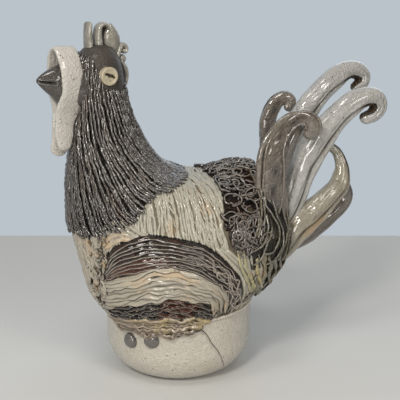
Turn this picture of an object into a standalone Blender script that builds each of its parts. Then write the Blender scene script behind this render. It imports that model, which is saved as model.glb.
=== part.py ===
"""A hand-built stoneware hen on a low round stand, fired in one piece.

The figure faces -X, its left flank faces -Y, and +Z is up. The origin is the centre of the
stand's flat underside. Free forms are drawn in points of a 302 mm tall figure, so that the
pose and the carving are shares of HEIGHT. The stand has sizes of its own.
"""

import math

import bmesh
import bpy
from mathutils import Vector
from mathutils.bvhtree import BVHTree

# Driving sizes, in metres
HEIGHT = 0.302
STAND_RADIUS = 0.0645
STAND_HEIGHT = 0.060
STAND_FOOT_RADIUS = 0.042
STAND_EDGE_HEIGHT = 0.028
BODY_HALF_WIDTH = 0.073
TAIL_ROOT_HALF_WIDTH = 0.046
HACKLE_DEPTH = 0.0035
HACKLE_FLUTE = 0.0028
WING_DEPTH = 0.0045
WING_RIDGE = 0.0020
STRAP_THICKNESS = 0.0042
EYE_RADIUS = 0.0073
EYE_THICKNESS = 0.0060
EYE_SLOT = 0.0014
LACE_RING_RADIUS = 0.0062
LACE_CORD_RADIUS = 0.0021

# One point is a thousandth of a metre on the figure as drawn, 302 points tall
POINT = HEIGHT / 302.0
HEAD_TURN = math.radians(22)
HEAD_AXIS = Vector((-64.0, 0.0, 0.0))
SINK = 0.004

# How finely each form is cut
STAND_SIDES = 36
BODY_SIDES = 28
ROOT_SIDES = 20
HACKLE_FLUTES = 34
STRIP_COLUMNS = 10
COIL_SIDES = 7
THIN_COIL_SIDES = 5
BEAK_SIDES = 12
EYE_SIDES = 12
CURL_SIDES = 7
CORD_SIDES = 4
CLAW_SIDES = 7
STRAP_STEPS = 25

LEFT, RIGHT = 1, -1

# The body and neck: front and back of each section in the middle plane, as x and z in points,
# and the section's half width as a share of the body's
BODY_SECTIONS = [
    ((-58, 40), (58, 40), 0.80),
    ((-67, 57), (62, 60), 0.85),
    ((-78, 74), (75, 75), 0.93),
    ((-83, 93), (89, 91), 0.99),
    ((-87, 110), (96, 108), 1.00),
    ((-91, 127), (96, 126), 0.96),
    ((-93, 141), (84, 147), 0.88),
    ((-93, 154), (58, 164), 0.79),
    ((-93, 167), (32, 169), 0.70),
    ((-91, 182), (4, 174), 0.61),
    ((-89, 197), (-16, 184), 0.53),
    ((-87, 212), (-28.5, 199), 0.46),
    ((-85, 226), (-37, 216), 0.40),
    ((-84, 240), (-43, 234), 0.355),
    ((-84, 253), (-45, 249), 0.33),
    ((-85, 263), (-46.5, 262), 0.315),
    ((-83, 273), (-49, 271.5), 0.27),
    ((-76, 281), (-54, 280), 0.18),
]

CROWN = (-64, 284)

# The hackle, which hangs over the body from below the eyes, as the same kind of sections
HACKLE_SECTIONS = [
    ((-84, 255), (-45, 245)),
    ((-86, 238), (-43, 233)),
    ((-89, 216), (-36, 214)),
    ((-91, 196), (-24, 198)),
    ((-93, 176), (-9, 187)),
    ((-94, 156), (2, 181)),
    ((-92, 138), (9, 177)),
    ((-90, 125), (14, 172)),
]

# The scallops of the hackle's hem: how many go round, and how deep, in points
HEM_WAVES = ((7, 3.5), (17, 1.5))

# The tail root: centre (x, z), half height, and half width as a share of the root's
TAIL_ROOT_SECTIONS = [
    ((26, 122), 40, 1.10),
    ((46, 131), 44, 1.12),
    ((62, 138), 42, 1.00),
    ((76, 144), 37, 0.80),
    ((88, 149), 27, 0.52),
    ((96, 153), 14, 0.26),
]
TAIL_ROOT_RISE = 0.42

# The tail's rolled clay feathers, each as points (x, y, z, radius) in points
TAIL_COILS = {
    "upper_plume": [
        (82, 8, 148, 8), (97, 11, 176, 9.5), (111, 13, 203, 10.6), (124, 14, 223.5, 11),
        (132, 15, 232.3, 10.6), (140.5, 16, 241, 10.2), (150, 18, 247.7, 9.9),
        (161.5, 20, 252.8, 9.4), (171, 21, 253.2, 8.7), (177.8, 21, 249.6, 7.6),
        (177.2, 19, 243.2, 6.5), (170.6, 17, 239, 5.1),
    ],
    "middle_plume": [
        (90, -8, 118, 10), (101, -9, 141, 11.5), (111.3, -10, 173, 12.8), (119.2, -10, 188.8, 13.3),
        (129.5, -11, 203.7, 12.5), (139.8, -11, 216, 11.4), (149.3, -12, 225.2, 10.5),
        (159.4, -12, 231, 10), (169.2, -12, 233.4, 9.6), (177, -12, 231, 8.6),
        (179.3, -12, 224.4, 7.5), (174.3, -13, 218.3, 6.6), (166.8, -14, 215.4, 5.6),
    ],
    "lower_plume": [
        (76, -3, 82, 10), (93, -6, 100, 12.6), (109, -9, 119.5, 13), (119, -9, 128.5, 12.8),
        (128.7, -9, 136.4, 11.9), (140.6, -8, 147.3, 10.1), (148.9, -5, 155.6, 9.2),
        (153, -2, 167.2, 7.6), (152, 0, 176, 6.2), (149, 2, 183.4, 5.4), (143, 4, 189, 4.8),
    ],
    "under_plume": [
        (84, 6, 96, 9), (103, 8, 98.6, 9.4), (118.4, 10, 101.7, 8.5), (132.2, 13, 108, 8.1),
        (145.7, 15, 116.8, 7.9), (158.2, 17, 126.6, 7.7), (165.2, 17, 138, 7.3),
        (161.4, 13, 150, 5.9), (152.4, 9, 157.3, 4.2),
    ],
    "left_sickle": [
        (72, -22, 104, 8.6), (70, -26, 120, 9.6), (71.7, -28, 137.5, 10), (74.8, -31, 155.8, 10.7),
        (75, -32, 171, 10.8), (74.5, -33, 186.8, 10), (75.8, -33, 197.8, 8.7), (80.3, -32, 207.2, 7.2),
        (88.4, -31, 216.5, 6.3), (98.5, -30, 221.5, 5.9), (107, -30, 219.9, 6.8),
        (111.3, -29, 211.8, 7.5), (109.7, -28, 206, 6.6),
    ],
    "left_sickle_edge": [
        (72, -30, 112, 2.6), (62, -34, 142.4, 2.6), (61.4, -36, 162.2, 2.6), (61.4, -37, 178, 2.6),
        (62, -37, 190, 2.5), (65.5, -36, 201, 2.5), (71, -35, 209.4, 2.4), (78, -34, 217.4, 2.3),
        (87.5, -33, 224, 2.2), (97.5, -31, 225.5, 2.1),
    ],
    "left_sickle_back": [
        (86, -20, 116, 4.4), (88.6, -24, 138, 4.8), (86, -27, 158, 4.8), (84, -27, 174.6, 4.3),
        (84, -27, 187, 3.8), (88, -26, 196, 3.2),
    ],
    "inner_curl": [
        (88, -18, 156, 4), (90, -20, 176.3, 3.8), (92.7, -21, 192, 3.9), (97.5, -22, 204.3, 3.7),
        (102.7, -22, 211.5, 3),
    ],
    "right_sickle": [
        (82, 20, 108, 7), (85, 22, 123, 7.5), (90, 27, 145.3, 7.9), (93, 29, 168.5, 7.8),
        (92, 30, 189, 7.2), (91, 30, 204.8, 7.1), (94, 30, 217.5, 6.7), (100, 30, 226.4, 6.3),
        (107.4, 29, 230, 6.2), (112, 28, 226.8, 5.6), (109.3, 27, 221, 4.4),
    ],
    "right_sickle_edge": [
        (90, 17, 112, 4), (101, 24, 142, 4.4), (103, 28, 168, 4.2), (101, 28, 190, 3.8),
        (102, 28, 206, 3.2),
    ],
}

# The head, as (forward of the head's axis, to the left of it, up) in points
BEAK_SECTIONS = [
    (12, 251, 17, 21),
    (22, 251.5, 15, 20),
    (31, 251.5, 10.5, 19),
    (38, 252, 9.2, 16.5),
    (44, 254.5, 7.4, 11.8),
    (50, 255.8, 5, 7.6),
    (54.5, 256.6, 2.8, 3.8),
]
BEAK_TIP = (57.3, 257)
MOUTH = (52, 255)
STRAP_ROUTE = [
    (36.8, 3.6, 205, 6), (36.8, 3.4, 212, 7.8), (36.2, 3.3, 221, 8.5), (34.6, 4.6, 230, 10),
    (31.8, 7.6, 239, 10.4), (30.5, 10.4, 248, 9.6), (31, 11.2, 258, 9.4), (32, 10.2, 268, 9.4),
    (32.8, 6.5, 277, 9.4), (33, 0, 281.3, 9.4), (33, -6.5, 277, 9.4), (33, -10.2, 268, 9.2),
    (33.2, -11.2, 257, 9), (33.4, -10.4, 247, 9), (32.5, -6.8, 237.5, 9.4),
    (32.8, -4.3, 229.5, 9.6), (34.8, -3.4, 219, 8.6), (35.6, -3.6, 210, 8.4),
    (38.3, -4.2, 200, 7),
]
EYE_PLACE = (5.5, 259.5)

# The comb's folded strips, as routes of (forward, up, radius) and flattened petals
COMB_STRIPS = [
    [(10.5, 278, 4.2), (10.2, 289, 4.3), (9.8, 298.6, 3.6)],
    [(3, 276, 4.0), (3, 289, 4.0), (0.5, 298, 3.6), (-5, 298.6, 3.2), (-9.5, 293, 2.8)],
    [(-15, 272, 3.6), (-19, 282, 3.6), (-24, 283, 3), (-25.5, 277, 2.8), (-22, 273, 3)],
]
COMB_PETALS = [
    ((-10.5, 288.5), (7.4, 5.0, 11.5)),
    ((-23.5, 266), (3.4, 3.4, 7.6)),
]
COMB_WIDEN = 1.35

# The wing: the lines between its bands, from front to rear, as (x, z) in points
WING_LINES = [
    [(-70, 108), (-65, 122), (-53, 132), (-39, 137), (-25, 135), (-10, 132), (5, 127), (18, 116),
     (29, 103), (36, 89), (37, 77), (33, 68)],
    [(-70, 96), (-62, 102), (-48, 107), (-32, 112), (-18, 113), (-6, 109), (6, 102), (17, 93),
     (25, 84), (28.5, 73.5), (25, 66)],
    [(-70, 69), (-56, 77), (-41, 80), (-29, 84), (-17, 87), (-7, 84), (5, 81), (12, 74),
     (17, 67), (20, 62.5)],
    [(-65, 60), (-53, 63), (-38, 66), (-20, 67), (0, 66), (15, 63)],
    [(-58, 55), (-50, 50), (-39, 47), (-26, 48), (-12, 50), (2, 57)],
]
WING_BANDS = (5, 4, 2, 2)

# Toes on the stand's left wall: bearing from the front, in degrees, top and bottom heights
TOES = [(38.5, 46, 33), (57, 49, 35)]
TOE_RADIUS = 0.0066

# Curled cords on the tail root: bearing along the root and round it, in shares and degrees
LACE_CURLS = [
    (0.16, 34), (0.20, 66), (0.17, 98), (0.38, 22), (0.38, 54), (0.36, 86), (0.56, 58),
]

# Lumpy ends of the strips in front of the wing, as (to the left, up, radius) in points
RUFFLE = [
    (39, 116, 5), (36, 103, 6), (29, 90, 6), (27, 78, 6), (30, 66, 6),
]


def clear_scene():
    for obj in list(bpy.data.objects):
        bpy.data.objects.remove(obj)


def fired_clay():
    material = bpy.data.materials.new("salt_glazed_stoneware")
    material.use_nodes = True
    shader = material.node_tree.nodes["Principled BSDF"]
    shader.inputs["Base Color"].default_value = (0.47, 0.42, 0.35, 1.0)
    shader.inputs["Roughness"].default_value = 0.3
    shader.inputs["Metallic"].default_value = 0.0
    return material


def object_of(name, mesh_builder):
    """A new object from a bmesh, with its normals facing out."""
    bmesh.ops.recalc_face_normals(mesh_builder, faces=mesh_builder.faces)
    mesh = bpy.data.meshes.new(name)
    mesh_builder.to_mesh(mesh)
    mesh_builder.free()
    obj = bpy.data.objects.new(name, mesh)
    bpy.context.scene.collection.objects.link(obj)
    return obj


def loft(name, rings, tips=(None, None)):
    """Skins equal rings of points, each end closed by a fan to a tip or to its own middle."""
    builder = bmesh.new()
    rows = [[builder.verts.new(p) for p in ring] for ring in rings]
    count = len(rows[0])
    for lower, upper in zip(rows, rows[1:]):
        for i in range(count):
            j = (i + 1) % count
            builder.faces.new((lower[i], lower[j], upper[j], upper[i]))
    for row, ring, tip in ((rows[0], rings[0], tips[0]), (rows[-1], rings[-1], tips[1])):
        middle = builder.verts.new(tip or sum(ring, Vector()) / count)
        for i in range(count):
            builder.faces.new((row[i], row[(i + 1) % count], middle))
    return object_of(name, builder)


def smooth_route(points, steps):
    """Evenly numbered points on a Catmull-Rom curve through points of any size."""
    ends = [points[0], *points, points[-1]]
    spans = len(points) - 1
    found = []
    for k in range(steps + 1):
        place = k / steps * spans
        i = min(int(place), spans - 1)
        t = place - i
        a, b, c, d = ends[i : i + 4]
        found.append([
            0.5 * (2 * q + (r - p) * t + (2 * p - 5 * q + 4 * r - s) * t * t
                   + (3 * q - p - 3 * r + s) * t ** 3)
            for p, q, r, s in zip(a, b, c, d)
        ])
    return found


def ellipse(angle, fullness=1.0):
    """A unit ellipse's cosine and sine, with shoulders when fullness is under one."""
    c, s = math.cos(angle), math.sin(angle)
    return (
        math.copysign(abs(c) ** fullness, c),
        math.copysign(abs(s) ** fullness, s),
    )


def head_point(forward, left, up):
    """A place on the turned head, in metres."""
    turned = Vector((
        -forward * math.cos(HEAD_TURN) + left * math.sin(HEAD_TURN),
        -forward * math.sin(HEAD_TURN) - left * math.cos(HEAD_TURN),
        up,
    ))
    return (HEAD_AXIS + turned) * POINT


def sweep(name, route, sides, spin_axis=None, widen=1.0):
    """A round-ended coil along a route of (place, radius). It is widened along spin_axis."""
    places = [Vector(p) for p, _ in route]
    radii = [r for _, r in route]
    rings = []
    across = None
    for i, place in enumerate(places):
        ahead = (places[min(i + 1, len(places) - 1)] - places[max(i - 1, 0)]).normalized()
        start = spin_axis or across or Vector((0, 1, 0))
        across = (start - ahead * start.dot(ahead)).normalized()
        other = ahead.cross(across)
        rings.append([
            place + across * (radii[i] * widen * math.cos(a)) + other * (radii[i] * math.sin(a))
            for a in (2 * math.pi * k / sides for k in range(sides))
        ])
    first = places[0] + (places[0] - places[1]).normalized() * radii[0] * 0.6
    last = places[-1] + (places[-1] - places[-2]).normalized() * radii[-1] * 0.75
    return loft(name, rings, (first, last))


def coil(name, points):
    """A tapering roll of clay through points (x, y, z, radius)."""
    thin = max(p[3] for p in points) < 5
    route = smooth_route(points, len(points) + (2 if thin else 4))
    return sweep(
        name,
        [(Vector(p[:3]) * POINT, p[3] * POINT) for p in route],
        THIN_COIL_SIDES if thin else COIL_SIDES,
    )


def ball(name, centre, radii, axes=None, segments=9, rings=6):
    """A spheroid with its own radii along three axes."""
    forward, left, up = axes or (Vector((1, 0, 0)), Vector((0, 1, 0)), Vector((0, 0, 1)))
    builder = bmesh.new()
    bmesh.ops.create_uvsphere(builder, u_segments=segments, v_segments=rings, radius=1.0)
    for vertex in builder.verts:
        x, y, z = vertex.co
        vertex.co = centre + forward * x * radii[0] + left * y * radii[1] + up * z * radii[2]
    return object_of(name, builder)


def stand_radius(height):
    """The stand's outline: a foot, a rounded lower edge and a nearly upright wall."""
    if height >= STAND_EDGE_HEIGHT:
        return STAND_RADIUS
    fall = 1 - height / STAND_EDGE_HEIGHT
    return STAND_FOOT_RADIUS + (STAND_RADIUS - STAND_FOOT_RADIUS) * (1 - fall * fall) ** 0.7


def stand():
    edge = [STAND_EDGE_HEIGHT * (k / 5) ** 1.5 for k in range(6)]
    heights = edge + [STAND_HEIGHT]
    rings = []
    for height in heights:
        radius = stand_radius(height)
        turns = (2 * math.pi * k / STAND_SIDES for k in range(STAND_SIDES))
        rings.append([
            Vector((radius * math.cos(a), radius * math.sin(a), height)) for a in turns
        ])
    return loft("stand", rings)


def section_ring(front, back, half_width):
    """A slanting full oval through two points of the middle plane."""
    front = Vector((front[0], 0, front[1])) * POINT
    back = Vector((back[0], 0, back[1])) * POINT
    middle, arm = (front + back) / 2, (back - front) / 2
    ring = []
    for k in range(BODY_SIDES):
        c, s = ellipse(2 * math.pi * k / BODY_SIDES, 0.9)
        ring.append(middle + arm * c + Vector((0, half_width * s, 0)))
    return ring


def body():
    rings = [
        section_ring(front, back, BODY_HALF_WIDTH * share)
        for front, back, share in BODY_SECTIONS
    ]
    return loft("body", rings, (None, Vector((CROWN[0], 0, CROWN[1])) * POINT))


def surface_of(obj):
    graph = bpy.context.evaluated_depsgraph_get()
    return BVHTree.FromObject(obj, graph)


def hackle(body_surface):
    """The mantle of pressed strands: flutes that stand proud of the body, with a ragged hem."""
    last = len(HACKLE_SECTIONS) - 1
    rings = []
    for row, (front, back) in enumerate(HACKLE_SECTIONS):
        front = Vector((front[0], 0, front[1])) * POINT
        back = Vector((back[0], 0, back[1])) * POINT
        middle, arm = (front + back) / 2, (back - front) / 2
        proud = HACKLE_DEPTH * (-0.35 if row == 0 else min(1.0, 0.35 + 0.65 * row / 4))
        ring = []
        for k in range(2 * HACKLE_FLUTES):
            angle = math.pi * k / HACKLE_FLUTES
            way = arm * math.cos(angle) + Vector((0, arm.length * math.sin(angle), 0))
            start = middle
            if row == last:
                scallop = sum(depth * math.cos(count * angle) for count, depth in HEM_WAVES)
                start = middle + Vector((0.35, 0, -1)) * scallop * POINT
            hit = body_surface.ray_cast(start, way.normalized())[0]
            flute = HACKLE_FLUTE * (0.5 - k % 2) * min(1.0, row / 2)
            ring.append(hit + way.normalized() * (proud + flute))
        rings.append(ring)
    return loft("hackle", rings)


def tail_root():
    along = Vector((1, 0, TAIL_ROOT_RISE)).normalized()
    up = Vector((-along.z, 0, along.x))
    rings = []
    for (x, z), half_height, share in TAIL_ROOT_SECTIONS:
        centre = Vector((x, 0, z)) * POINT
        turns = (2 * math.pi * k / ROOT_SIDES for k in range(ROOT_SIDES))
        rings.append([
            centre + up * (half_height * POINT * math.cos(a))
            + Vector((0, TAIL_ROOT_HALF_WIDTH * share * math.sin(a), 0))
            for a in turns
        ])
    return loft("tail_root", rings)


def lace_curl(name, root_surface, along_share, bearing, side):
    """A ring of pressed cord, laid on the tail root and half sunk into it."""
    first = Vector((TAIL_ROOT_SECTIONS[1][0][0], 0, TAIL_ROOT_SECTIONS[1][0][1]))
    last = Vector((TAIL_ROOT_SECTIONS[-1][0][0], 0, TAIL_ROOT_SECTIONS[-1][0][1]))
    start = first.lerp(last, along_share) * POINT
    angle = math.radians(bearing)
    up = Vector((-TAIL_ROOT_RISE, 0, 1)).normalized()
    way = up * math.cos(angle) + Vector((0, -side * math.sin(angle), 0))
    place, normal = root_surface.ray_cast(start, way)[:2]
    normal = normal if normal.dot(way) > 0 else -normal
    across = normal.orthogonal().normalized()
    other = normal.cross(across)
    builder = bmesh.new()
    rows = []
    for k in range(CURL_SIDES):
        turn = 2 * math.pi * k / CURL_SIDES
        out = across * math.cos(turn) + other * math.sin(turn)
        middle = place + normal * LACE_CORD_RADIUS * 0.35 + out * LACE_RING_RADIUS
        rows.append([
            builder.verts.new(
                middle + (out * math.cos(a) + normal * math.sin(a)) * LACE_CORD_RADIUS
            )
            for a in (2 * math.pi * j / CORD_SIDES for j in range(CORD_SIDES))
        ])
    for k in range(CURL_SIDES):
        row, following = rows[k], rows[(k + 1) % CURL_SIDES]
        for j in range(CORD_SIDES):
            i = (j + 1) % CORD_SIDES
            builder.faces.new((row[j], row[i], following[i], following[j]))
    return object_of(name, builder)


def flank_point(surfaces, x, z, side, proud):
    """The flank at a place of the side view, moved outwards."""
    start = Vector((x * POINT, -side, z * POINT))
    hits = [surface.ray_cast(start, Vector((0, side, 0)))[0] for surface in surfaces]
    out = max((-side * hit.y for hit in hits if hit), default=0.0)
    return Vector((start.x, -side * (out + proud), start.z))


def wing(name, surfaces, side):
    """Overlapping strips in arched bands, each strip a ridge that steps down to the next."""
    lines = [smooth_route(line, STRIP_COLUMNS) for line in WING_LINES]
    levels = [0.0]
    for band, strips in enumerate(WING_BANDS):
        for strip in range(strips):
            levels += [band + (strip + 0.35) / strips, band + (strip + 0.92) / strips]
    levels.append(float(len(WING_BANDS)))
    outer, inner = [], []
    for row, level in enumerate(levels):
        band = min(int(level), len(WING_BANDS) - 1)
        share = level - band
        ridge = WING_RIDGE * (1 if row % 2 == 0 else -1)
        edge_row = row in (0, len(levels) - 1)
        outer_row, inner_row = [], []
        for k in range(STRIP_COLUMNS + 1):
            x = lines[band][k][0] * (1 - share) + lines[band + 1][k][0] * share
            z = lines[band][k][1] * (1 - share) + lines[band + 1][k][1] * share
            taper = min(1.0, 0.4 * min(k, STRIP_COLUMNS - k))
            raised = (WING_DEPTH + ridge / 2) * taper
            proud = -SINK / 4 if edge_row or not taper else raised
            outer_row.append(flank_point(surfaces, x, z, side, proud))
            inner_row.append(flank_point(surfaces, x, z, side, -2 * SINK))
        outer.append(outer_row)
        inner.append(inner_row)
    builder = bmesh.new()
    shells = [[[builder.verts.new(p) for p in row] for row in grid] for grid in (outer, inner)]
    rows, columns = len(levels), STRIP_COLUMNS + 1
    for grid in shells:
        for i in range(rows - 1):
            for j in range(columns - 1):
                builder.faces.new(
                    (grid[i][j], grid[i][j + 1], grid[i + 1][j + 1], grid[i + 1][j])
                )
    rim = [(0, j) for j in range(columns - 1)]
    rim += [(i, columns - 1) for i in range(rows - 1)]
    rim += [(rows - 1, j) for j in range(columns - 1, 0, -1)]
    rim += [(i, 0) for i in range(rows - 1, 0, -1)]
    for (i, j), (m, n) in zip(rim, rim[1:] + rim[:1]):
        top, bottom = shells
        builder.faces.new((top[i][j], top[m][n], bottom[m][n], bottom[i][j]))
    return object_of(name, builder)


def beak():
    rings = []
    for forward, height, half_width, half_height in BEAK_SECTIONS:
        ring = []
        for k in range(BEAK_SIDES):
            c, s = ellipse(2 * math.pi * k / BEAK_SIDES)
            ring.append(head_point(forward, half_width * c, height + half_height * s))
        rings.append(ring)
    return loft("beak", rings, (None, head_point(BEAK_TIP[0], 0, BEAK_TIP[1])))


def mouth():
    """The cutter of the slit between the upper and lower beak."""
    builder = bmesh.new()
    bmesh.ops.create_cube(builder, size=1.0)
    for vertex in builder.verts:
        x, y, z = vertex.co
        vertex.co = head_point(MOUTH[0] + 14 * x, 40 * y, MOUTH[1] + 1.4 * z + 2.2 * x)
    return object_of("mouth_cutter", builder)


def strap():
    """The band over the beak, whose two ends hang down as wattles."""
    route = smooth_route(STRAP_ROUTE, STRAP_STEPS)
    forward = head_point(1, 0, 0) - head_point(0, 0, 0)
    forward.normalize()
    places = [head_point(*p[:3]) for p in route]
    rings = []
    for i, place in enumerate(places):
        ahead = (places[min(i + 1, len(places) - 1)] - places[max(i - 1, 0)]).normalized()
        across = (forward - ahead * forward.dot(ahead)).normalized()
        out = ahead.cross(across)
        half_width = route[i][3] * POINT
        rings.append([
            place + across * half_width * c + out * STRAP_THICKNESS / 2 * s
            for c, s in (ellipse(math.pi * k / 3, 0.8) for k in range(6))
        ])
    first = places[0] + (places[0] - places[1]).normalized() * 4 * POINT
    last = places[-1] + (places[-1] - places[-2]).normalized() * 4 * POINT
    return loft("strap", rings, (first, last))


def eye_frame(body_surface, side):
    """The middle of an eye on the head's skin, and the way it faces."""
    forward, up = EYE_PLACE
    start = head_point(forward, 0, up)
    way = (head_point(forward, side, up) - start).normalized()
    return body_surface.ray_cast(start, way)[0], way


def disc(name, centre, way, radius, near, far):
    across = way.orthogonal().normalized()
    other = way.cross(across)
    rings = []
    for depth, share in ((near, 1.0), (far * 0.72, 1.0), (far, 0.86)):
        rings.append([
            centre + way * depth + (across * math.cos(a) + other * math.sin(a)) * radius * share
            for a in (2 * math.pi * k / EYE_SIDES for k in range(EYE_SIDES))
        ])
    return loft(name, rings)


def eye(name, body_surface, side):
    centre, way = eye_frame(body_surface, side)
    return disc(name, centre, way, EYE_RADIUS, -SINK, EYE_THICKNESS / 2)


def eye_slot(name, body_surface, side):
    """The cutter of the short slit pressed into an eye."""
    centre, way = eye_frame(body_surface, side)
    along = way.cross(Vector((0, 0, 1))).normalized()
    up = way.cross(along).normalized()
    slant = (along + up * 0.35 * side).normalized()
    builder = bmesh.new()
    bmesh.ops.create_cube(builder, size=1.0)
    for vertex in builder.verts:
        x, y, z = vertex.co
        vertex.co = (
            centre + way * (EYE_THICKNESS / 2 + EYE_THICKNESS * 0.5 * z)
            + slant * x * EYE_RADIUS * 1.1 + way.cross(slant) * y * EYE_SLOT
        )
    return object_of(name, builder)


def comb():
    """The comb's strips and petals stand in a row from the brow to the back of the head."""
    left = (head_point(0, 1, 0) - head_point(0, 0, 0)).normalized()
    forward = (head_point(1, 0, 0) - head_point(0, 0, 0)).normalized()
    made = []
    for number, strip in enumerate(COMB_STRIPS, 1):
        route = smooth_route(strip, 3 * (len(strip) - 1))
        places = [(head_point(a, 0, z), r * POINT) for a, z, r in route]
        made.append(sweep(f"comb_strip_{number}", places, CLAW_SIDES, left, COMB_WIDEN))
    for number, ((a, z), radii) in enumerate(COMB_PETALS, 1):
        made.append(ball(
            f"comb_petal_{number}", head_point(a, 0, z), [r * POINT for r in radii],
            (forward, left, Vector((0, 0, 1))),
        ))
    return made


def toe(name, bearing, top, bottom, side):
    """A claw that runs down the stand's wall from under the body."""
    angle = math.radians(bearing)
    out = Vector((-math.cos(angle), -side * math.sin(angle), 0))
    route = []
    for k in range(5):
        share = k / 4
        height = (top + (bottom - top) * share) * POINT
        reach = stand_radius(height) - TOE_RADIUS * 0.25
        radius = TOE_RADIUS * (0.95 - 0.35 * (share - 0.4) ** 2 - 0.25 * share ** 4)
        route.append((out * reach + Vector((0, 0, height)), radius))
    return sweep(name, route, CLAW_SIDES, Vector((0, 0, 1)).cross(out))


def ruffle_lump(name, body_surface, left, up, radius, side):
    """One curled strip end on the breast, half sunk in it."""
    start = Vector((-1, -side * left * POINT, up * POINT))
    centre = body_surface.ray_cast(start, Vector((1, 0, 0)))[0]
    return ball(name, centre, [radius * POINT] * 3, None, 7, 5)


def applied_clay(body_surface, root_form, stand_form):
    """Every form that is pressed onto the body before firing."""
    root_surface = surface_of(root_form)
    flanks = (body_surface, surface_of(stand_form))
    made = [stand_form, root_form, hackle(body_surface), beak(), strap(), *comb()]
    made += [coil(name, points) for name, points in TAIL_COILS.items()]
    for side, word in ((LEFT, "left"), (RIGHT, "right")):
        made.append(wing(f"{word}_wing", flanks, side))
        made.append(eye(f"{word}_eye", body_surface, side))
        for number, (bearing, top, bottom) in enumerate(TOES, 1):
            made.append(toe(f"{word}_toe_{number}", bearing, top, bottom, side))
        for number, (share, bearing) in enumerate(LACE_CURLS, 1):
            made.append(
                lace_curl(f"{word}_lace_{number}", root_surface, share, bearing, side)
            )
        for number, place in enumerate(RUFFLE, 1):
            made.append(ruffle_lump(f"{word}_ruffle_{number}", body_surface, *place, side))
    return made


def helpers(name, objects):
    """A collection of forms that a Boolean reads and a render leaves out."""
    group = bpy.data.collections.new(name)
    bpy.context.scene.collection.children.link(group)
    for obj in objects:
        bpy.context.scene.collection.objects.unlink(obj)
        group.objects.link(obj)
        obj.hide_render = True
        obj.display_type = "WIRE"
    return group


def combine(target, name, operation, group):
    modifier = target.modifiers.new(name, "BOOLEAN")
    modifier.operation = operation
    modifier.operand_type = "COLLECTION"
    modifier.solver = "EXACT"
    modifier.collection = group


clear_scene()
hen = body()
hen.name = "stoneware_hen"
hen.data.materials.append(fired_clay())
skin = surface_of(hen)
clay = applied_clay(skin, tail_root(), stand())
cutters = [mouth(), eye_slot("left_eye_slot_cutter", skin, LEFT)]
cutters.append(eye_slot("right_eye_slot_cutter", skin, RIGHT))
combine(hen, "press on the clay", "UNION", helpers("applied_clay", clay))
combine(hen, "cut the slits", "DIFFERENCE", helpers("cutters", cutters))
hen.data.shade_smooth()
hen.data.set_sharp_from_angle(angle=math.radians(35))
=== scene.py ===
# %% [markdown]
# This lesson dresses a pottery hen. The real figure is built by hand from stoneware: a hollow
# body covered with hundreds of thin clay strands, wings of overlapping strips, a tail of rolled
# clay feathers, and a salt glaze that pools dark in each groove. Here that dark in the grooves
# is partly painted shade. The imported model gives the shape and the place of everything. Here
# each clay strand, strip and roll is laid on it. Most tables give places in points, and the
# figure is 302 points tall.

import math

import bmesh
import bpy
import numpy as np
from mathutils import Matrix, Vector
from mathutils.bvhtree import BVHTree


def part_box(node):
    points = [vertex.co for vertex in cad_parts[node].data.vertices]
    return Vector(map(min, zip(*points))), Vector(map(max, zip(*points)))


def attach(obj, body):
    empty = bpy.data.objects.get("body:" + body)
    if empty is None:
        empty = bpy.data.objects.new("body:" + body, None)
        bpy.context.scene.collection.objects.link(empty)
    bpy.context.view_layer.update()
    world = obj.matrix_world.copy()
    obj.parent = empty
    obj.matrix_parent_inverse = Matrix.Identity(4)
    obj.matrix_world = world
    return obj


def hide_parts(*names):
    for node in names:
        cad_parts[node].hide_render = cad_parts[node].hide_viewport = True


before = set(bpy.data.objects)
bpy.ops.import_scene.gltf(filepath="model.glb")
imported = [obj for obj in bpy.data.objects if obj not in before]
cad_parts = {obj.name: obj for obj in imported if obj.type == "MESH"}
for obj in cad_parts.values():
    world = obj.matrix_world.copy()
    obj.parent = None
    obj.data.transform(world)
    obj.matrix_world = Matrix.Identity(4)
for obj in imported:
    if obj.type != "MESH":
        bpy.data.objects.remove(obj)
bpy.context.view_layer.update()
bottom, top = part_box("stoneware_hen")
FIGURE_HEIGHT = 0.302
POINTS_TALL = 302.0
POINT = FIGURE_HEIGHT / POINTS_TALL
MM = 0.001
print("the model is", round((top.z - bottom.z) / MM, 1), "mm tall")

# %% [markdown]
# Clay pressed by hand is never regular, so nearly every length and bend below has a little
# chance in it. One generator with a fixed seed gives that chance, so that each run of the
# script makes the same hen. A wander is a sum of a few slow waves, which bends a strand gently.

# %% Chance and smooth curves
chance = np.random.default_rng(27)
FULL_SWING = 1.6


def some(low, more):
    """A value by chance, from low to low + more."""
    return low + more * chance.random()

def wander(count, waves=3, slowest=0.7):
    """Values of about -1 to 1 that drift smoothly from the first to the last."""
    place = np.linspace(0, 1, count)
    total = np.zeros(count)
    for wave in range(waves):
        rate = slowest * (1 + wave * (0.8 + chance.random()))
        total += np.sin(2 * math.pi * (rate * place + chance.random())) / (1 + wave)
    return total / FULL_SWING


def smooth_route(points, count):
    """Points on a smooth curve through a few points that have any number of values each."""
    points = np.array(points, float)
    ends = np.vstack([2 * points[0] - points[1], points, 2 * points[-1] - points[-2]])
    spans = len(points) - 1
    place = np.linspace(0, spans, count)
    first = np.minimum(place.astype(int), spans - 1)
    t = (place - first)[:, None]
    p, q, r, s = (ends[first + k] for k in range(4))
    bend = 2 * p - 5 * q + 4 * r - s
    twist = 3 * q - p - 3 * r + s
    return 0.5 * (2 * q + (r - p) * t + bend * t * t + twist * t**3)


def even_route(points, count):
    """The same curve with its points at equal distances."""
    dense = smooth_route(points, 400)
    steps = np.linalg.norm(np.diff(dense[:, :3], axis=0), axis=1)
    gone = np.concatenate([[0], np.cumsum(steps)])
    wanted = np.linspace(0, gone[-1], count)
    return np.stack([np.interp(wanted, gone, dense[:, k]) for k in range(dense.shape[1])], 1)


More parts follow.
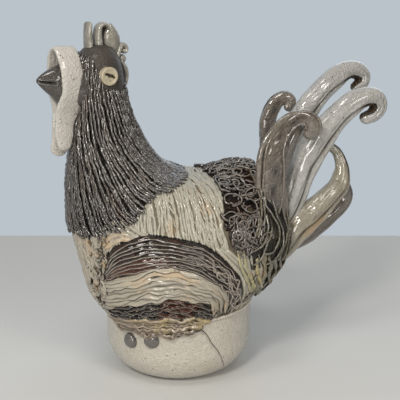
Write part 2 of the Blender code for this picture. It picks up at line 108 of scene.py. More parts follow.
def soften(values, passes=2):
    """Each value moves to the middle of its neighbours, a few times."""
    values = np.array(values, float)
    for _ in range(passes):
        values[1:-1] = 0.25 * values[:-2] + 0.5 * values[1:-1] + 0.25 * values[2:]
    return values


def unit(vectors):
    return vectors / np.maximum(np.linalg.norm(vectors, axis=-1, keepdims=True), 1e-9)


def fade(values, low, high):
    """0 below low, 1 above high, smooth between."""
    share = np.clip((np.asarray(values, float) - low) / (high - low), 0, 1)
    return share * share * (3 - 2 * share)


def bump(off, width):
    """1 where off is 0, and falling to 0 on both sides."""
    return np.exp(-((off / width) ** 2))


def wrapped(angle):
    """The same angle, between minus and plus half a turn."""
    return (angle + math.pi) % (2 * math.pi) - math.pi


def dip(angle, centre, width):
    """A bump round a centre, for angles in radians."""
    return bump(wrapped(angle - centre), width)


def full_circle(count):
    """So many equal steps round a circle."""
    return 2 * math.pi * np.arange(count) / count


def tapered(rows, first, last, over):
    """A share that grows over the first few rows and shrinks over the last few."""
    index = np.arange(rows)
    return np.clip(np.minimum(index + first, rows - index + last) / over, 0, 1)


def read_off(table, value):
    """What a table of pairs says at any value between its own."""
    return np.interp(value, *zip(*table))


print("a wander of 5 values:", wander(5).round(2))

# %% [markdown]
# Hundreds of strands are quickest to make as one mesh. A bundle takes routes and lays a closed
# roll of clay along each. Its rings keep one corner on the crest, away from the body, so a
# vertex attribute can say how high on its strand it sits. The glaze reads it to paint the
# grooves and the underside of each strand near black: partly glaze that pools there, partly
# painted shade.
# A flat ribbon is the same roll with a wide section that can lean to one side like a roof tile.

# %% Bundles of rolled clay
ROUND_STEPS, ROUND_TURN = 4, 78
CREST_FROM, CREST_SPAN = 0.72, 0.34
# The width in radians of the painted highlight along one edge of a dark roll, and the angle that
# puts it under the roll, where it is hidden and leaves the roll painted dark as painted shade.
PAINTED_HIGHLIGHT_WIDTH = 0.5
PAINTED_HIGHLIGHT_BELOW = -math.pi / 2


def put_in_scene(name, data):
    obj = bpy.data.objects.new(name, data)
    bpy.context.scene.collection.objects.link(obj)
    return obj


def new_object(name, places, faces):
    """An object whose mesh has these places and faces."""
    mesh = bpy.data.meshes.new(name)
    mesh.from_pydata(places.tolist(), [], faces)
    return put_in_scene(name, mesh)


def set_values(mesh, word, values):
    """Gives each vertex a value that the glaze can read by its word."""
    layer = mesh.attributes.new(word, "FLOAT", "POINT")
    layer.data.foreach_set("value", values)
class Bundle:
    """Closed rolls of clay that become one mesh."""

    def __init__(self):
        self.places, self.faces, self.crests, self.tints = [], [], [], []
        self.count = 0

    def add(self, route, outward, radius, tint=0.5, sides=6, width=1.0, lean=0.0, ridges=None,
            rounded=False, lit=None, sunk=False):
        """Lays one roll. radius, width and lean may change along the route. ridges and tint may
        be functions of the share along it and the angle round it. An angle can be given for a
        painted highlight along one edge of a dark roll, which also darkens the rest of the roll to
        a quarter as painted shade; given as the angle under the roll, it hides the highlight and
        leaves only the painted shade. A switch darkens the sides and underside as painted shade,
        where some glaze also pools."""
        route = np.array(route, float)
        rows = len(route)
        radius, width, lean = (
            np.broadcast_to(np.array(v, float), (rows,)) for v in (radius, width, lean)
        )
        outward = np.broadcast_to(np.array(outward, float), (rows, 3))
        if rounded:
            turn = np.radians(np.linspace(0, ROUND_TURN, ROUND_STEPS + 1)[1:])
            near = route[0] + unit(route[0] - route[1]) * (radius[0] * np.sin(turn[::-1]))[:, None]
            far = route[-1] + unit(route[-1] - route[-2]) * (radius[-1] * np.sin(turn))[:, None]
            route = np.vstack([near, route, far])
            near_radius, far_radius = radius[0] * np.cos(turn[::-1]), radius[-1] * np.cos(turn)
            radius = np.concatenate([near_radius, radius, far_radius])
            width, lean = (np.pad(v, ROUND_STEPS, mode="edge") for v in (width, lean))
            outward = np.pad(outward, ((ROUND_STEPS, ROUND_STEPS), (0, 0)), mode="edge")
            rows = len(route)
        ahead = unit(np.gradient(route, axis=0))
        across = unit(np.cross(ahead, outward))
        up = np.cross(across, ahead)
        leaning_across = across * np.cos(lean)[:, None] + up * np.sin(lean)[:, None]
        leaning_up = up * np.cos(lean)[:, None] - across * np.sin(lean)[:, None]
        angle = math.pi / 2 + full_circle(sides)
        reach = np.ones((rows, sides))
        # By default each roll is painted light on top and near black where it lies against the
        # body: partly glaze that pools there, partly painted shade under the roll. Ridged rolls are
        # painted dark in their grooves the same way.
        crest = np.broadcast_to(np.sin(angle) * 0.5 + 0.5, (rows, sides))
        along = np.linspace(0, 1, rows)[:, None]
        if ridges is not None:
            reach = ridges(along, angle[None, :])
            crest = np.clip((reach - CREST_FROM) / CREST_SPAN, 0, 1)
        # The sides and underside are darkened further: painted shade, where some glaze also pools.
        if sunk:
            crest = crest * np.clip(0.35 + 0.9 * np.sin(angle), 0, 1)
        # One edge is painted light as a painted highlight, and the rest is darkened to a quarter as
        # painted shade.
        if lit is not None:
            crest = np.clip(0.25 * crest + dip(angle, lit, PAINTED_HIGHLIGHT_WIDTH), 0, 1)
        tints = tint(along, angle[None, :]) if callable(tint) else tint
        wide = (radius * width)[:, None] * np.cos(angle)[None, :] * reach
        high = radius[:, None] * np.sin(angle)[None, :] * reach
        rings = route[:, None] + wide[..., None] * leaning_across[:, None]
        rings = rings + high[..., None] * leaning_up[:, None]
        tip = 0.2 if rounded else 0.6
        tips = [route[0] - ahead[0] * radius[0] * tip, route[-1] + ahead[-1] * radius[-1] * tip]
        self.places += [rings.reshape(-1, 3), np.array(tips)]
        self.crests += [crest.ravel(), np.array([0.5, 0.5])]
        self.tints += [np.broadcast_to(tints, (rows, sides)).ravel(), np.array([0.5, 0.5])]
        corner = np.arange(sides)
        following = (corner + 1) % sides
        low = self.count + np.arange(rows - 1)[:, None] * sides
        above = low + sides
        quads = np.stack([low + corner, above + corner, above + following, low + following], -1)
        last = self.count + rows * sides
        near_fan = np.stack([self.count + corner, self.count + following, np.full(sides, last)], -1)
        far = last - sides
        far_fan = np.stack([far + following, far + corner, np.full(sides, last + 1)], -1)
        self.faces += quads.reshape(-1, 4).tolist() + near_fan.tolist() + far_fan.tolist()
        self.count = last + 2

    def piece(self, name, glaze):
        """Turns the bundle into one finished piece that rides on the figure."""
        obj = new_object(name, np.vstack(self.places), self.faces)
        for word, values in (("crest", self.crests), ("tint", self.tints)):
            set_values(obj.data, word, np.concatenate(values).astype(np.float32))
        return finish_piece(obj, glaze)


def finish_piece(obj, glaze, crest=0.5):
    """Points faces outwards, smooths them, and gives the piece its glaze and its body."""
    mesh = obj.data
    builder = bmesh.new()
    builder.from_mesh(mesh)
    if builder.calc_volume(signed=True) < 0:
        bmesh.ops.reverse_faces(builder, faces=builder.faces)
    triangles = sum(len(face.verts) - 2 for face in builder.faces)
    builder.to_mesh(mesh)
    builder.free()
    mesh.polygons.foreach_set("use_smooth", [True] * len(mesh.polygons))
    for word, value in (("crest", crest), ("tint", 0.5)):
        if word not in mesh.attributes:
            set_values(mesh, word, [value] * len(mesh.vertices))
    mesh.materials.clear()
    mesh.materials.append(glaze)
    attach(obj, "root")
    print(f"{obj.name}: {triangles} triangles")
    return obj


# %% [markdown]
# The glaze. Salt glaze is a thin glass coat: glossy, pitted like orange peel, clear over pale
# clay and almost black over clay with manganese. It runs off sharp crests, which stay light,
# pools in the grooves, flashes orange where it is thin, and iron shows as dark specks. The glaze
# below also paints the crests lighter, partly as a painted highlight, and paints the grooves and
# the undersides of the strands near black, partly as painted shade. A small class lets Python's
# own operators write the shader's sums.

# %% Shader sums
class Term:
    """A shader value that Python's operators work on."""

    def __init__(self, recipe, socket):
        self.recipe, self.socket = recipe, socket

    def sum(self, operation, left, right):
        return self.recipe.node("ShaderNodeMath", {"operation": operation}, {0: left, 1: right})

    def __add__(self, other):
        return self.sum("ADD", self, other)

    __radd__ = __add__

    def __mul__(self, other):
        return self.sum("MULTIPLY", self, other)

    __rmul__ = __mul__

    def __sub__(self, other):
        return self.sum("SUBTRACT", self, other)

    def __rsub__(self, other):
        return self.sum("SUBTRACT", other, self)

    def step(self, low, high):
        """0 below low, 1 above high, and smooth between."""
        names = {"interpolation_type": "SMOOTHSTEP"}
        return self.recipe.node("ShaderNodeMapRange", names, {0: self, 1: low, 2: high})


class Recipe:
    """A material that is being mixed, node by node."""

    def __init__(self, name):
        self.material = bpy.data.materials.new(name)
        self.material.use_nodes = True
        self.tree = self.material.node_tree
        self.shader = self.tree.nodes["Principled BSDF"]
        self.place = self.node("ShaderNodeTexCoord", {}, {}, "Object")

    def node(self, kind, settings, values, output=0):
        made = self.tree.nodes.new(kind)
        for word, value in settings.items():
            setattr(made, word, value)
        for socket, value in values.items():
            if isinstance(value, Term):
                self.tree.links.new(value.socket, made.inputs[socket])
            else:
                made.inputs[socket].default_value = value
        return Term(self, made.outputs[output])

    def attribute(self, word):
        return self.node("ShaderNodeAttribute", {"attribute_name": word}, {}, "Fac")

    def noise(self, size, detail=2.0, roughness=0.5):
        """Cloudy values whose clouds are about size metres across."""
        values = {"Vector": self.place, "Scale": 1 / size, "Detail": detail, "Roughness": roughness}
        return self.node("ShaderNodeTexNoise", {}, values, "Fac")

    def cells(self, size):
        values = {"Vector": self.place, "Scale": 1 / size, "Randomness": 1.0}
        return self.node("ShaderNodeTexVoronoi", {}, values, "Distance")

    def grey(self, value):
        return self.node("ShaderNodeCombineColor", {}, {0: value, 1: value, 2: value})

    def blend(self, share, first, second, kind="MIX"):
        settings = {"data_type": "RGBA", "blend_type": kind}
        values = {0: share}
        for socket, colour in ((6, first), (7, second)):
            values[socket] = colour if isinstance(colour, Term) else (*colour, 1)
        return self.node("ShaderNodeMix", settings, values, 2)

    def set(self, name, value):
        if isinstance(value, Term):
            self.tree.links.new(value.socket, self.shader.inputs[name])
        else:
            self.shader.inputs[name].default_value = value


# %% The glaze over each clay
COAT_IOR, CLAY_IOR = 1.75, 1.5
COAT_ROUGHNESS = 0.05
IRON = (0.030, 0.018, 0.010)
# How far across the glaze's patterns are, in mm
CLOUD, MOTTLE, RUST_PATCH, SPECK_PATCH, SPECK_SPACING = 22, 3.5, 16, 9, 4.6


def salt_glaze(name, crest, side, groove, flash, flash_share=0.2, rust=None, rust_share=0.0,
               specks=0.5, roughness=0.18, peel=0.3, peel_size=1.9, coat=0.5, sharp=0.72):
    """One clay under salt glaze. peel and peel_size are the orange peel's depth and width in mm."""
    mix = Recipe(name)
    height = mix.attribute("crest")
    tint = mix.attribute("tint")
    clouds = mix.noise(CLOUD * MM, 3)
    mottle = mix.noise(MOTTLE * MM, 3, 0.6)
    # The colour goes from near black in the grooves and under the strands to light on the crests:
    # partly glaze that pools and runs off, partly painted shade and a painted highlight.
    colour = mix.blend(height.step(0.10, 0.60), groove, side)
    colour = mix.blend(height.step(sharp, 1.0) * (0.45 + 0.9 * mottle), colour, crest)
    flashed = clouds * 0.75 + tint * 0.25 + 0.2 * mottle
    flashed = flashed.step(0.82 - flash_share, 1.12 - flash_share)
    colour = mix.blend(flashed * 0.7, colour, flash)
    if rust:
        patches = mix.noise(RUST_PATCH * MM, 2) * 0.55 + tint * 0.45
        patches = patches.step(0.62 - rust_share, 0.78 - rust_share)
        colour = mix.blend(patches * (1.0 - height) * (0.35 + 0.9 * mottle), colour, rust)
    shade = 0.70 + 0.34 * tint + 0.30 * mottle
    colour = mix.blend(1.0, colour, mix.grey(shade), "MULTIPLY")
    rarity = mix.noise(SPECK_PATCH * MM, 1)
    dot = 1 - mix.cells(SPECK_SPACING * MM).step(0.09, 0.19)
    dot = dot * rarity.step(0.72 - specks * 0.25, 0.76 - specks * 0.25)
    colour = mix.blend(dot * 0.85, colour, IRON)
    mix.set("Base Color", colour)
    mix.set("Roughness", roughness + 0.16 * mottle)
    # The coat is thinned where the painted shade falls, so the grooves reflect little.
    mix.set("Coat Weight", (height * 0.85 + 0.15) * coat)
    mix.set("Specular IOR Level", 0.3)
    mix.set("Coat Roughness", COAT_ROUGHNESS)
    mix.set("Coat IOR", COAT_IOR)
    mix.set("IOR", CLAY_IOR)
    pits = mix.noise(peel_size * MM, 2, 0.6).step(0.30, 0.70)
    ripples = mix.noise(peel_size * 4 * MM, 1)
    bumps = {"Strength": 1.0, "Distance": peel * MM, "Height": pits + ripples * 1.2}
    mix.set("Normal", mix.node("ShaderNodeBump", {}, bumps))
    return mix.material


dark_glaze = salt_glaze(
    "dark_manganese_glaze", crest=(0.128, 0.110, 0.098), side=(0.020, 0.015, 0.0125),
    groove=(0.005, 0.004, 0.0035), flash=(0.07, 0.042, 0.026), specks=0.0, roughness=0.12,
    peel=1.4, peel_size=1.7, coat=1.0,
)
lace_glaze = salt_glaze(
    "lace_glaze", crest=(0.22, 0.195, 0.172), side=(0.022, 0.016, 0.013),
    groove=(0.005, 0.003, 0.0025), flash=(0.10, 0.05, 0.03), rust=(0.035, 0.012, 0.006),
    rust_share=0.12, specks=0.0, roughness=0.14, peel=0.7, peel_size=1.7, coat=0.8, sharp=0.7,
)
root_glaze = salt_glaze(
    "root_cord_glaze", crest=(0.22, 0.20, 0.155), side=(0.042, 0.036, 0.027),
    groove=(0.008, 0.007, 0.005), flash=(0.11, 0.09, 0.045), flash_share=0.28, specks=0.2,
    roughness=0.15, peel=0.5, peel_size=1.8, coat=0.8, sharp=0.7,
)
wing_glaze = salt_glaze(
    "rusty_wing_glaze", crest=(0.38, 0.335, 0.28), side=(0.029, 0.020, 0.015),
    groove=(0.005, 0.003, 0.0025), flash=(0.07, 0.035, 0.022), rust=(0.095, 0.026, 0.010),
    rust_share=0.20, specks=0.0, roughness=0.13, peel=0.8, peel_size=1.8, coat=0.8,
)
pale_glaze = salt_glaze(
    "pale_buff_glaze", crest=(0.39, 0.37, 0.305), side=(0.27, 0.25, 0.195),
    groove=(0.10, 0.075, 0.045), flash=(0.42, 0.27, 0.13), flash_share=0.22, specks=0.75,
    roughness=0.26, peel_size=1.7, coat=0.45, sharp=0.5,
)
breast_glaze = salt_glaze(
    "breast_glaze", crest=(0.45, 0.41, 0.345), side=(0.27, 0.24, 0.19),
    groove=(0.05, 0.037, 0.024), flash=(0.34, 0.23, 0.12), specks=0.6, roughness=0.24,
)
strip_glaze = salt_glaze(
    "pale_strip_glaze", crest=(0.52, 0.49, 0.425), side=(0.34, 0.31, 0.25),
    groove=(0.022, 0.015, 0.010), flash=(0.42, 0.30, 0.18), flash_share=0.24, specks=0.6,
    roughness=0.22, peel=0.28, sharp=0.6,
)
frill_glaze = salt_glaze(
    "frill_glaze", crest=(0.58, 0.52, 0.44), side=(0.27, 0.215, 0.16),
    groove=(0.010, 0.007, 0.005), flash=(0.40, 0.31, 0.14), flash_share=0.24, peel=0.4, coat=0.7,
    sharp=0.6,
)
stand_glaze = salt_glaze(
    "stand_glaze", crest=(0.62, 0.58, 0.51), side=(0.48, 0.44, 0.365), groove=(0.03, 0.02, 0.015),
    flash=(0.50, 0.40, 0.28), flash_share=0.18, specks=0.8, roughness=0.13, peel=0.7,
    peel_size=1.8, coat=0.9, sharp=0.6,
)
comb_glaze = salt_glaze(
    "comb_glaze", crest=(0.38, 0.36, 0.325), side=(0.24, 0.225, 0.195),
    groove=(0.016, 0.012, 0.010), flash=(0.20, 0.185, 0.125), specks=0.3, peel=0.34, coat=0.6,
)
rear_glaze = salt_glaze(
    "rear_glaze", crest=(0.34, 0.325, 0.26), side=(0.16, 0.15, 0.112),
    groove=(0.012, 0.010, 0.007), flash=(0.22, 0.17, 0.09), roughness=0.17, peel=0.4, coat=0.7,
)
plume_glaze = salt_glaze(
    "plume_glaze", crest=(0.42, 0.41, 0.395), side=(0.295, 0.288, 0.27),
    groove=(0.04, 0.027, 0.016), flash=(0.33, 0.21, 0.085), flash_share=0.12, specks=0.8,
    roughness=0.13, peel=0.62, peel_size=2.2, coat=0.9, sharp=0.55,
)
low_plume_glaze = salt_glaze(
    "low_plume_glaze", crest=(0.31, 0.285, 0.23), side=(0.22, 0.195, 0.145),
    groove=(0.014, 0.009, 0.006), flash=(0.32, 0.19, 0.07), flash_share=0.18, specks=0.8,
    roughness=0.14, peel=0.5, peel_size=2.6, coat=0.75, sharp=0.55,
)
sickle_glaze = salt_glaze(
    "sickle_glaze", crest=(0.19, 0.164, 0.138), side=(0.125, 0.107, 0.090),
    groove=(0.008, 0.006, 0.005), flash=(0.17, 0.145, 0.10), flash_share=0.22,
    rust=(0.085, 0.04, 0.022), rust_share=0.10, specks=0.3, roughness=0.10, peel=1.1,
    peel_size=2.4, coat=1.0, sharp=0.6,
)
head_glaze = salt_glaze(
    "head_glaze", crest=(0.056, 0.047, 0.039), side=(0.046, 0.038, 0.032),
    groove=(0.03, 0.024, 0.019), flash=(0.066, 0.056, 0.045), flash_share=0.25, specks=0.0,
    roughness=0.38, peel=0.35, coat=0.12,
)
beak_glaze = salt_glaze(
    "beak_glaze", crest=(0.11, 0.10, 0.092), side=(0.055, 0.047, 0.042),
    groove=(0.007, 0.005, 0.004), flash=(0.07, 0.055, 0.045), specks=0.0, roughness=0.14,
    peel=0.55, peel_size=2.2, coat=0.8,
)
eye_glaze = salt_glaze(
    "eye_glaze", crest=(0.50, 0.445, 0.335), side=(0.40, 0.35, 0.25),
    groove=(0.016, 0.010, 0.007), flash=(0.44, 0.36, 0.23), flash_share=0.3, specks=0.3,
    roughness=0.24, peel=0.16,
)
strap_glaze = salt_glaze(
    "strap_glaze", crest=(0.56, 0.54, 0.50), side=(0.49, 0.465, 0.425), groove=(0.12, 0.09, 0.06),
    flash=(0.44, 0.31, 0.19), flash_share=0.10, specks=1.1, roughness=0.15, peel=0.42,
    peel_size=1.8, coat=0.9, sharp=0.6,
)
olive_glaze = salt_glaze(
    "olive_glaze", crest=(0.66, 0.61, 0.42), side=(0.36, 0.33, 0.20),
    groove=(0.012, 0.010, 0.006), flash=(0.34, 0.27, 0.11), flash_share=0.24, specks=0.4,
    coat=0.6,
)
print("glazes mixed:", len([m for m in bpy.data.materials if "glaze" in m.name]))

# %% [markdown]
# The body under the strands. Each section of the body and neck slants, so that it lies square
# to the neck's curve. The front and back of each section are places in the middle plane. The
# form is skinned from many ovals between them, close enough together to look thrown, and it
# also gives the surface that every strand is laid on.

# %% The body's sections
BODY_HALF_WIDTH = 0.073
BODY_SECTIONS = [
    (-58, 40, 58, 40, 0.80),
    (-67, 57, 62, 60, 0.85),
    (-78, 74, 75, 75, 0.93),
    (-83, 93, 89, 91, 0.99),
    (-87, 110, 96, 108, 1.00),
    (-91, 127, 96, 126, 0.96),
    (-93, 141, 84, 147, 0.88),
    (-93, 154, 58, 164, 0.79),
    (-93, 167, 32, 169, 0.70),
    (-91, 182, 4, 174, 0.61),
    (-89, 197, -16, 184, 0.53),
    (-87, 212, -28.5, 199, 0.46),
    (-85, 226, -37, 216, 0.40),
    (-84, 240, -43, 234, 0.355),
    (-84, 253, -45, 249, 0.33),
    (-85, 263, -46.5, 262, 0.315),
    (-83, 273, -49, 271.5, 0.27),
    (-76, 281, -54, 280, 0.18),
]
HEAD_SECTIONS = BODY_SECTIONS[13:]
CROWN = np.array([-64, 0, 284]) * POINT
HEAD_PROUD = 0.0004
TAIL_ROOT_HALF_WIDTH = 0.046
TAIL_ROOT_RISE = 0.42
SQUARENESS = 0.9
TAIL_ROOT_SECTIONS = [
    (26, 122, 40, 1.10),
    (46, 131, 44, 1.12),
    (62, 138, 42, 1.00),
    (76, 144, 37, 0.80),
    (88, 149, 27, 0.52),
    (96, 153, 14, 0.26),
]


def section_axes(front_x, front_z, back_x, back_z):
    """The middle of a slanting section and its arm to the back, from points to metres."""
    middle = np.array([front_x + back_x, 0, front_z + back_z]) * POINT / 2
    arm = np.array([back_x - front_x, 0, back_z - front_z]) * POINT / 2
    return middle, arm


def oval_rings(sections, rows, sides, proud=0.0):
    """Slanting ovals from (front x, front z, back x, back z, half width)."""
    angle = full_circle(sides)
    c, s = np.cos(angle), np.sin(angle)
    c, s = np.sign(c) * abs(c) ** SQUARENESS, np.sign(s) * abs(s) ** SQUARENESS
    rings = []
    for *ends, share in smooth_route(sections, rows):
        middle, arm = section_axes(*ends)
        ring = middle + c[:, None] * (arm + unit(arm) * proud)
        ring[:, 1] += s * (BODY_HALF_WIDTH * share + proud)
        rings.append(ring)
    return rings


def skin(name, rings, low_tip=None, high_tip=None):
    """Skins equal rings and closes both ends with a fan."""
    sides = len(rings[0])
    low = rings[0].mean(0) if low_tip is None else low_tip
    high = rings[-1].mean(0) if high_tip is None else high_tip
    corner = np.arange(sides)
    following = (corner + 1) % sides
    row = np.arange(len(rings) - 1)[:, None] * sides
    above = row + sides
    quads = np.stack([row + corner, row + following, above + following, above + corner], -1)
    ends = len(rings) * sides
    last = ends - sides
    low_fan = np.stack([following, corner, np.full(sides, ends)], -1)
    high_fan = np.stack([last + corner, last + following, np.full(sides, ends + 1)], -1)
    faces = quads.reshape(-1, 4).tolist() + low_fan.tolist() + high_fan.tolist()
    return new_object(name, np.vstack([*rings, [low], [high]]), faces)


def tree_of(obj):
    mesh = obj.data
    return BVHTree.FromPolygons([v.co for v in mesh.vertices], [p.vertices for p in mesh.polygons])


def root_rings(rows, sides):
    """Ovals square to the tail root, from (x, z, half height, share of the half width)."""
    along = Vector((1, 0, TAIL_ROOT_RISE)).normalized()
    lift = np.array([-along.z, 0, along.x])
    angle = full_circle(sides)
    rings = []
    for x, z, half_height, share in smooth_route(TAIL_ROOT_SECTIONS, rows):
        ring = np.array([x, 0, z]) * POINT + np.cos(angle)[:, None] * lift * half_height * POINT
        ring[:, 1] += np.sin(angle) * TAIL_ROOT_HALF_WIDTH * share
        rings.append(ring)
    return rings


body = skin("body", oval_rings(BODY_SECTIONS, 90, 96), None, CROWN)
head = skin("head", oval_rings(HEAD_SECTIONS, 30, 96, HEAD_PROUD), None, CROWN + [0, 0, HEAD_PROUD])
tail_root = skin("tail_root", root_rings(30, 64))
body_tree, root_tree = tree_of(body), tree_of(tail_root)
print("the body's skin has", len(body.data.polygons), "faces")
print("the tail root's skin has", len(tail_root.data.polygons), "faces")

# %% [markdown]
# The stand is a squat pinched ring of pale clay. A circle is extruded upwards level by level and
# scaled to the wall's outline at each. It dried unevenly and cracked, so a thin groove is cut
# down its left wall, and a notched cord of clay closes the seam with the body.

# %% The stand
STAND_RADIUS = 0.0645
STAND_HEIGHT = 0.060
STAND_FOOT_RADIUS = 0.042
STAND_EDGE_HEIGHT = 0.028
STAND_SIDES = 144
FOOT_LEVELS = 14
CRACK_ROUTE = [(3.7, -64.4, 54), (9.9, -63.7, 48), (15.1, -62.6, 38.7), (21.2, -60.8, 29.7),
               (24.6, -58.8, 22), (28.2, -51, 11)]
CRACK_ROWS = 60
CRACK_RADIUS = 0.00034
SEAM_NOTCHES = 150


def stand_radius(height):
    """Half the width of the stand: it bulges from the foot to the edge and is upright above."""
    if height >= STAND_EDGE_HEIGHT:
        return STAND_RADIUS
    fall = 1 - height / STAND_EDGE_HEIGHT
    return STAND_FOOT_RADIUS + (STAND_RADIUS - STAND_FOOT_RADIUS) * (1 - fall * fall) ** 0.7


bpy.ops.object.select_all(action="DESELECT")
bpy.ops.mesh.primitive_circle_add(
    vertices=STAND_SIDES, radius=STAND_FOOT_RADIUS, fill_type="NGON"
)
stand = bpy.context.object
stand.name = stand.data.name = "stand"
bpy.ops.object.mode_set(mode="EDIT")
levels = [STAND_EDGE_HEIGHT * (k / FOOT_LEVELS) ** 1.6 for k in range(1, FOOT_LEVELS + 1)]
levels += [0.034, 0.040, 0.046, 0.052, 0.057, STAND_HEIGHT]
height, reach = 0.0, STAND_FOOT_RADIUS
for level in levels:
    bpy.ops.mesh.extrude_region_move(TRANSFORM_OT_translate={"value": (0, 0, level - height)})
    grow = stand_radius(level) / reach
    bpy.ops.transform.resize(value=(grow, grow, 1), center_override=(0, 0, level))
    height, reach = level, stand_radius(level)
bpy.ops.mesh.select_all(action="DESELECT")
bpy.ops.object.mode_set(mode="OBJECT")
stand_tree = tree_of(stand)


def cut(obj, tool):
    """Takes one closed shape out of another and removes the tool."""
    carve = obj.modifiers.new("cut", "BOOLEAN")
    carve.object, carve.operation, carve.solver = tool, "DIFFERENCE", "EXACT"
    bpy.ops.object.select_all(action="DESELECT")
    bpy.context.view_layer.objects.active = obj
    obj.select_set(True)
    bpy.ops.object.modifier_apply(modifier=carve.name)
    bpy.data.objects.remove(tool)


def tool_of(bundle, name):
    """A bundle as a closed shape that can be cut out of another."""
    tool = new_object(name, np.vstack(bundle.places), bundle.faces)
    builder = bmesh.new()
    builder.from_mesh(tool.data)
    bmesh.ops.recalc_face_normals(builder, faces=builder.faces)
    builder.to_mesh(tool.data)
    builder.free()
    return tool


def darken_near(obj, route, distance, crest, below=None):
    """Paints shade along a cut, where some glaze also pools: the crest value falls to nothing
    near the route. below tells whether a vertex lies under the face that was cut."""
    values = []
    for vertex in obj.data.vertices:
        nearest = np.linalg.norm(route - np.array(vertex.co), axis=1).min()
        pooled = nearest < distance and (below is None or below(vertex.co))
        values.append(0.0 if pooled else crest)
    set_values(obj.data, "crest", values)


crack_route = smooth_route(np.array(CRACK_ROUTE) * MM, CRACK_ROWS)
crack_route[:, 0] += 0.0003 * wander(CRACK_ROWS, 3, 2)
crack_route[:, 2] += 0.0002 * wander(CRACK_ROWS, 3, 2)
for point in crack_route:
    point[:2] *= stand_radius(point[2]) / math.hypot(point[0], point[1])
crack = Bundle()
crack_radii = CRACK_RADIUS * np.linspace(1.15, 0.65, CRACK_ROWS)
crack.add(crack_route, unit(crack_route * [1, 1, 0]), crack_radii)
cut(stand, tool_of(crack, "crack"))
# The inside of the crack is painted dark: painted shade, with some pooled glaze.
darken_near(
    stand, crack_route, CRACK_RADIUS * 1.3, 0.8,
    lambda place: math.hypot(place.x, place.y) < stand_radius(place.z) - 0.2 * CRACK_RADIUS,
)
finish_piece(stand, stand_glaze)

# %% The notched seam between stand and body
seam = Bundle()
for start in (0, 0.5):
    part = np.linspace(start, start + 0.5, SEAM_NOTCHES * 2) * 2 * math.pi
    ring = np.stack([np.cos(part), np.sin(part), np.zeros_like(part)], 1)
    route = ring * (STAND_RADIUS + 0.0001) + [0, 0, STAND_HEIGHT + 0.0006]
    swell = 1 + 0.34 * np.sin(part * SEAM_NOTCHES)
    seam.add(route, ring, 0.0014 * swell, 0.9, sides=6, rounded=True)
seam.piece("notched_seam", stand_glaze)


# %% [markdown]
# Rays find where clay touches the body. A ray from inside gives the outermost skin it passes,
# and a ray from far out gives the first skin it meets.

# %% Places on the figure
def skins_met(trees, start, way):
    """The distance, place and normal of each tree's skin that a ray meets."""
    met = [tree.ray_cast(Vector(start), way) for tree in trees]
    return [(distance, place, normal) for place, normal, _, distance in met if place is not None]


def from_inside(trees, start, way):
    """The farthest skin that a ray from inside leaves through, facing outwards."""
    way = Vector(way).normalized()
    _, place, normal = max(skins_met(trees, start, way), key=lambda hit: hit[0])
    if normal.dot(way) < 0:
        normal = -normal
    return np.array(place), np.array(normal)


def from_outside(trees, start, way):
    """The first skin that a ray from outside meets, facing back along it."""
    way = Vector(way).normalized()
    met = skins_met(trees, start, way)
    if not met:
        return None, None
    _, place, normal = min(met, key=lambda hit: hit[0])
    if normal.dot(way) > 0:
        normal = -normal
    return np.array(place), np.array(normal)


LEFT, RIGHT = 1, -1
SIDES = ((LEFT, "left"), (RIGHT, "right"))
FAR = 0.3
SPINE_HEIGHT = 112 * POINT


def flank_point(x, z, side):
    """Where a level line from the side meets the figure, x and z in points."""
    start = (x * POINT, -side * FAR, z * POINT)
    return from_outside([body_tree, stand_tree, root_tree], start, (0, side, 0))


def on_flank(points, side, count, proud, calm=4):
    """A route pulled onto the flank, proud of it by so many mm, and the ways it faces. calm is
    how often the ways are softened."""
    pairs = [flank_point(point[0], point[-1], side) for point in even_route(points, count)]
    pairs = [(place, way) for place, way in pairs if place is not None]
    ways = soften([way for _, way in pairs], calm)
    return soften([place + way * proud * MM for place, way in pairs], 3), ways


def strayed(points, side, count, proud, far):
    """A route on the flank that drifts by up to so many mm, and the ways it faces."""
    path, ways = on_flank(points, side, count, proud)
    drift = np.stack([wander(len(path), 3, 2) for _ in range(3)], 1)
    return path + far * MM * drift, ways


def strip_ridges(count, depth, phase):
    """The fine lengthwise grooves of a strip that was pressed through a die."""
    return lambda along, angle: 1 - depth * (0.5 + 0.5 * np.cos(count * angle + phase + 2 * along))


def back_point(x, turn, side):
    """A place round the body: turn 0 is straight up, and a quarter turn is the flank."""
    way = np.array([0, -side * math.sin(turn), math.cos(turn)])
    return from_inside([body_tree, root_tree], (x * POINT, 0, SPINE_HEIGHT), way)


flank_y = float(flank_point(0, 100, LEFT)[0][1])
print("the flank at x 0, z 100 is at y", round(flank_y / MM, 1), "mm")

# %% [markdown]
# The hackle is the dark mantle that hangs from the head over the shoulders. On the real hen it is
# made of strands pressed through a sieve and laid side by side, top to bottom. A place on it is
# an angle round the neck and a share of the way down. Many strands start lower, where the neck
# has widened enough to leave a gap, so that strands fork as they do on the figure.

# %% The hackle's form
HACKLE_SECTIONS = [
    (-82, 278, -48, 265),
    (-84, 255, -45, 245),
    (-86, 238, -43, 233),
    (-89, 216, -36, 214),
    (-91, 196, -24, 198),
    (-93, 176, -9, 187),
    (-94, 156, 2, 181),
    (-92, 138, 9, 177),
    (-90, 125, 14, 172),
]
HACKLE_ROWS, EYE_ROW = 80, 10
hackle_rows = smooth_route(HACKLE_SECTIONS, HACKLE_ROWS + 1)
LEFT_EYE, RIGHT_EYE = math.radians(-68), math.radians(112)

# The hem: degrees from the back round to the front, and how far down the strands reach there
HEM = [(0, 0.85), (16, 0.84), (52, 0.80), (76, 0.79), (84, 0.83), (96, 0.92), (112, 0.96),
       (124, 0.98), (136, 0.98), (156, 0.93), (180, 0.92)]
FAN = 0.42
FACE_BEARING = math.radians(202)
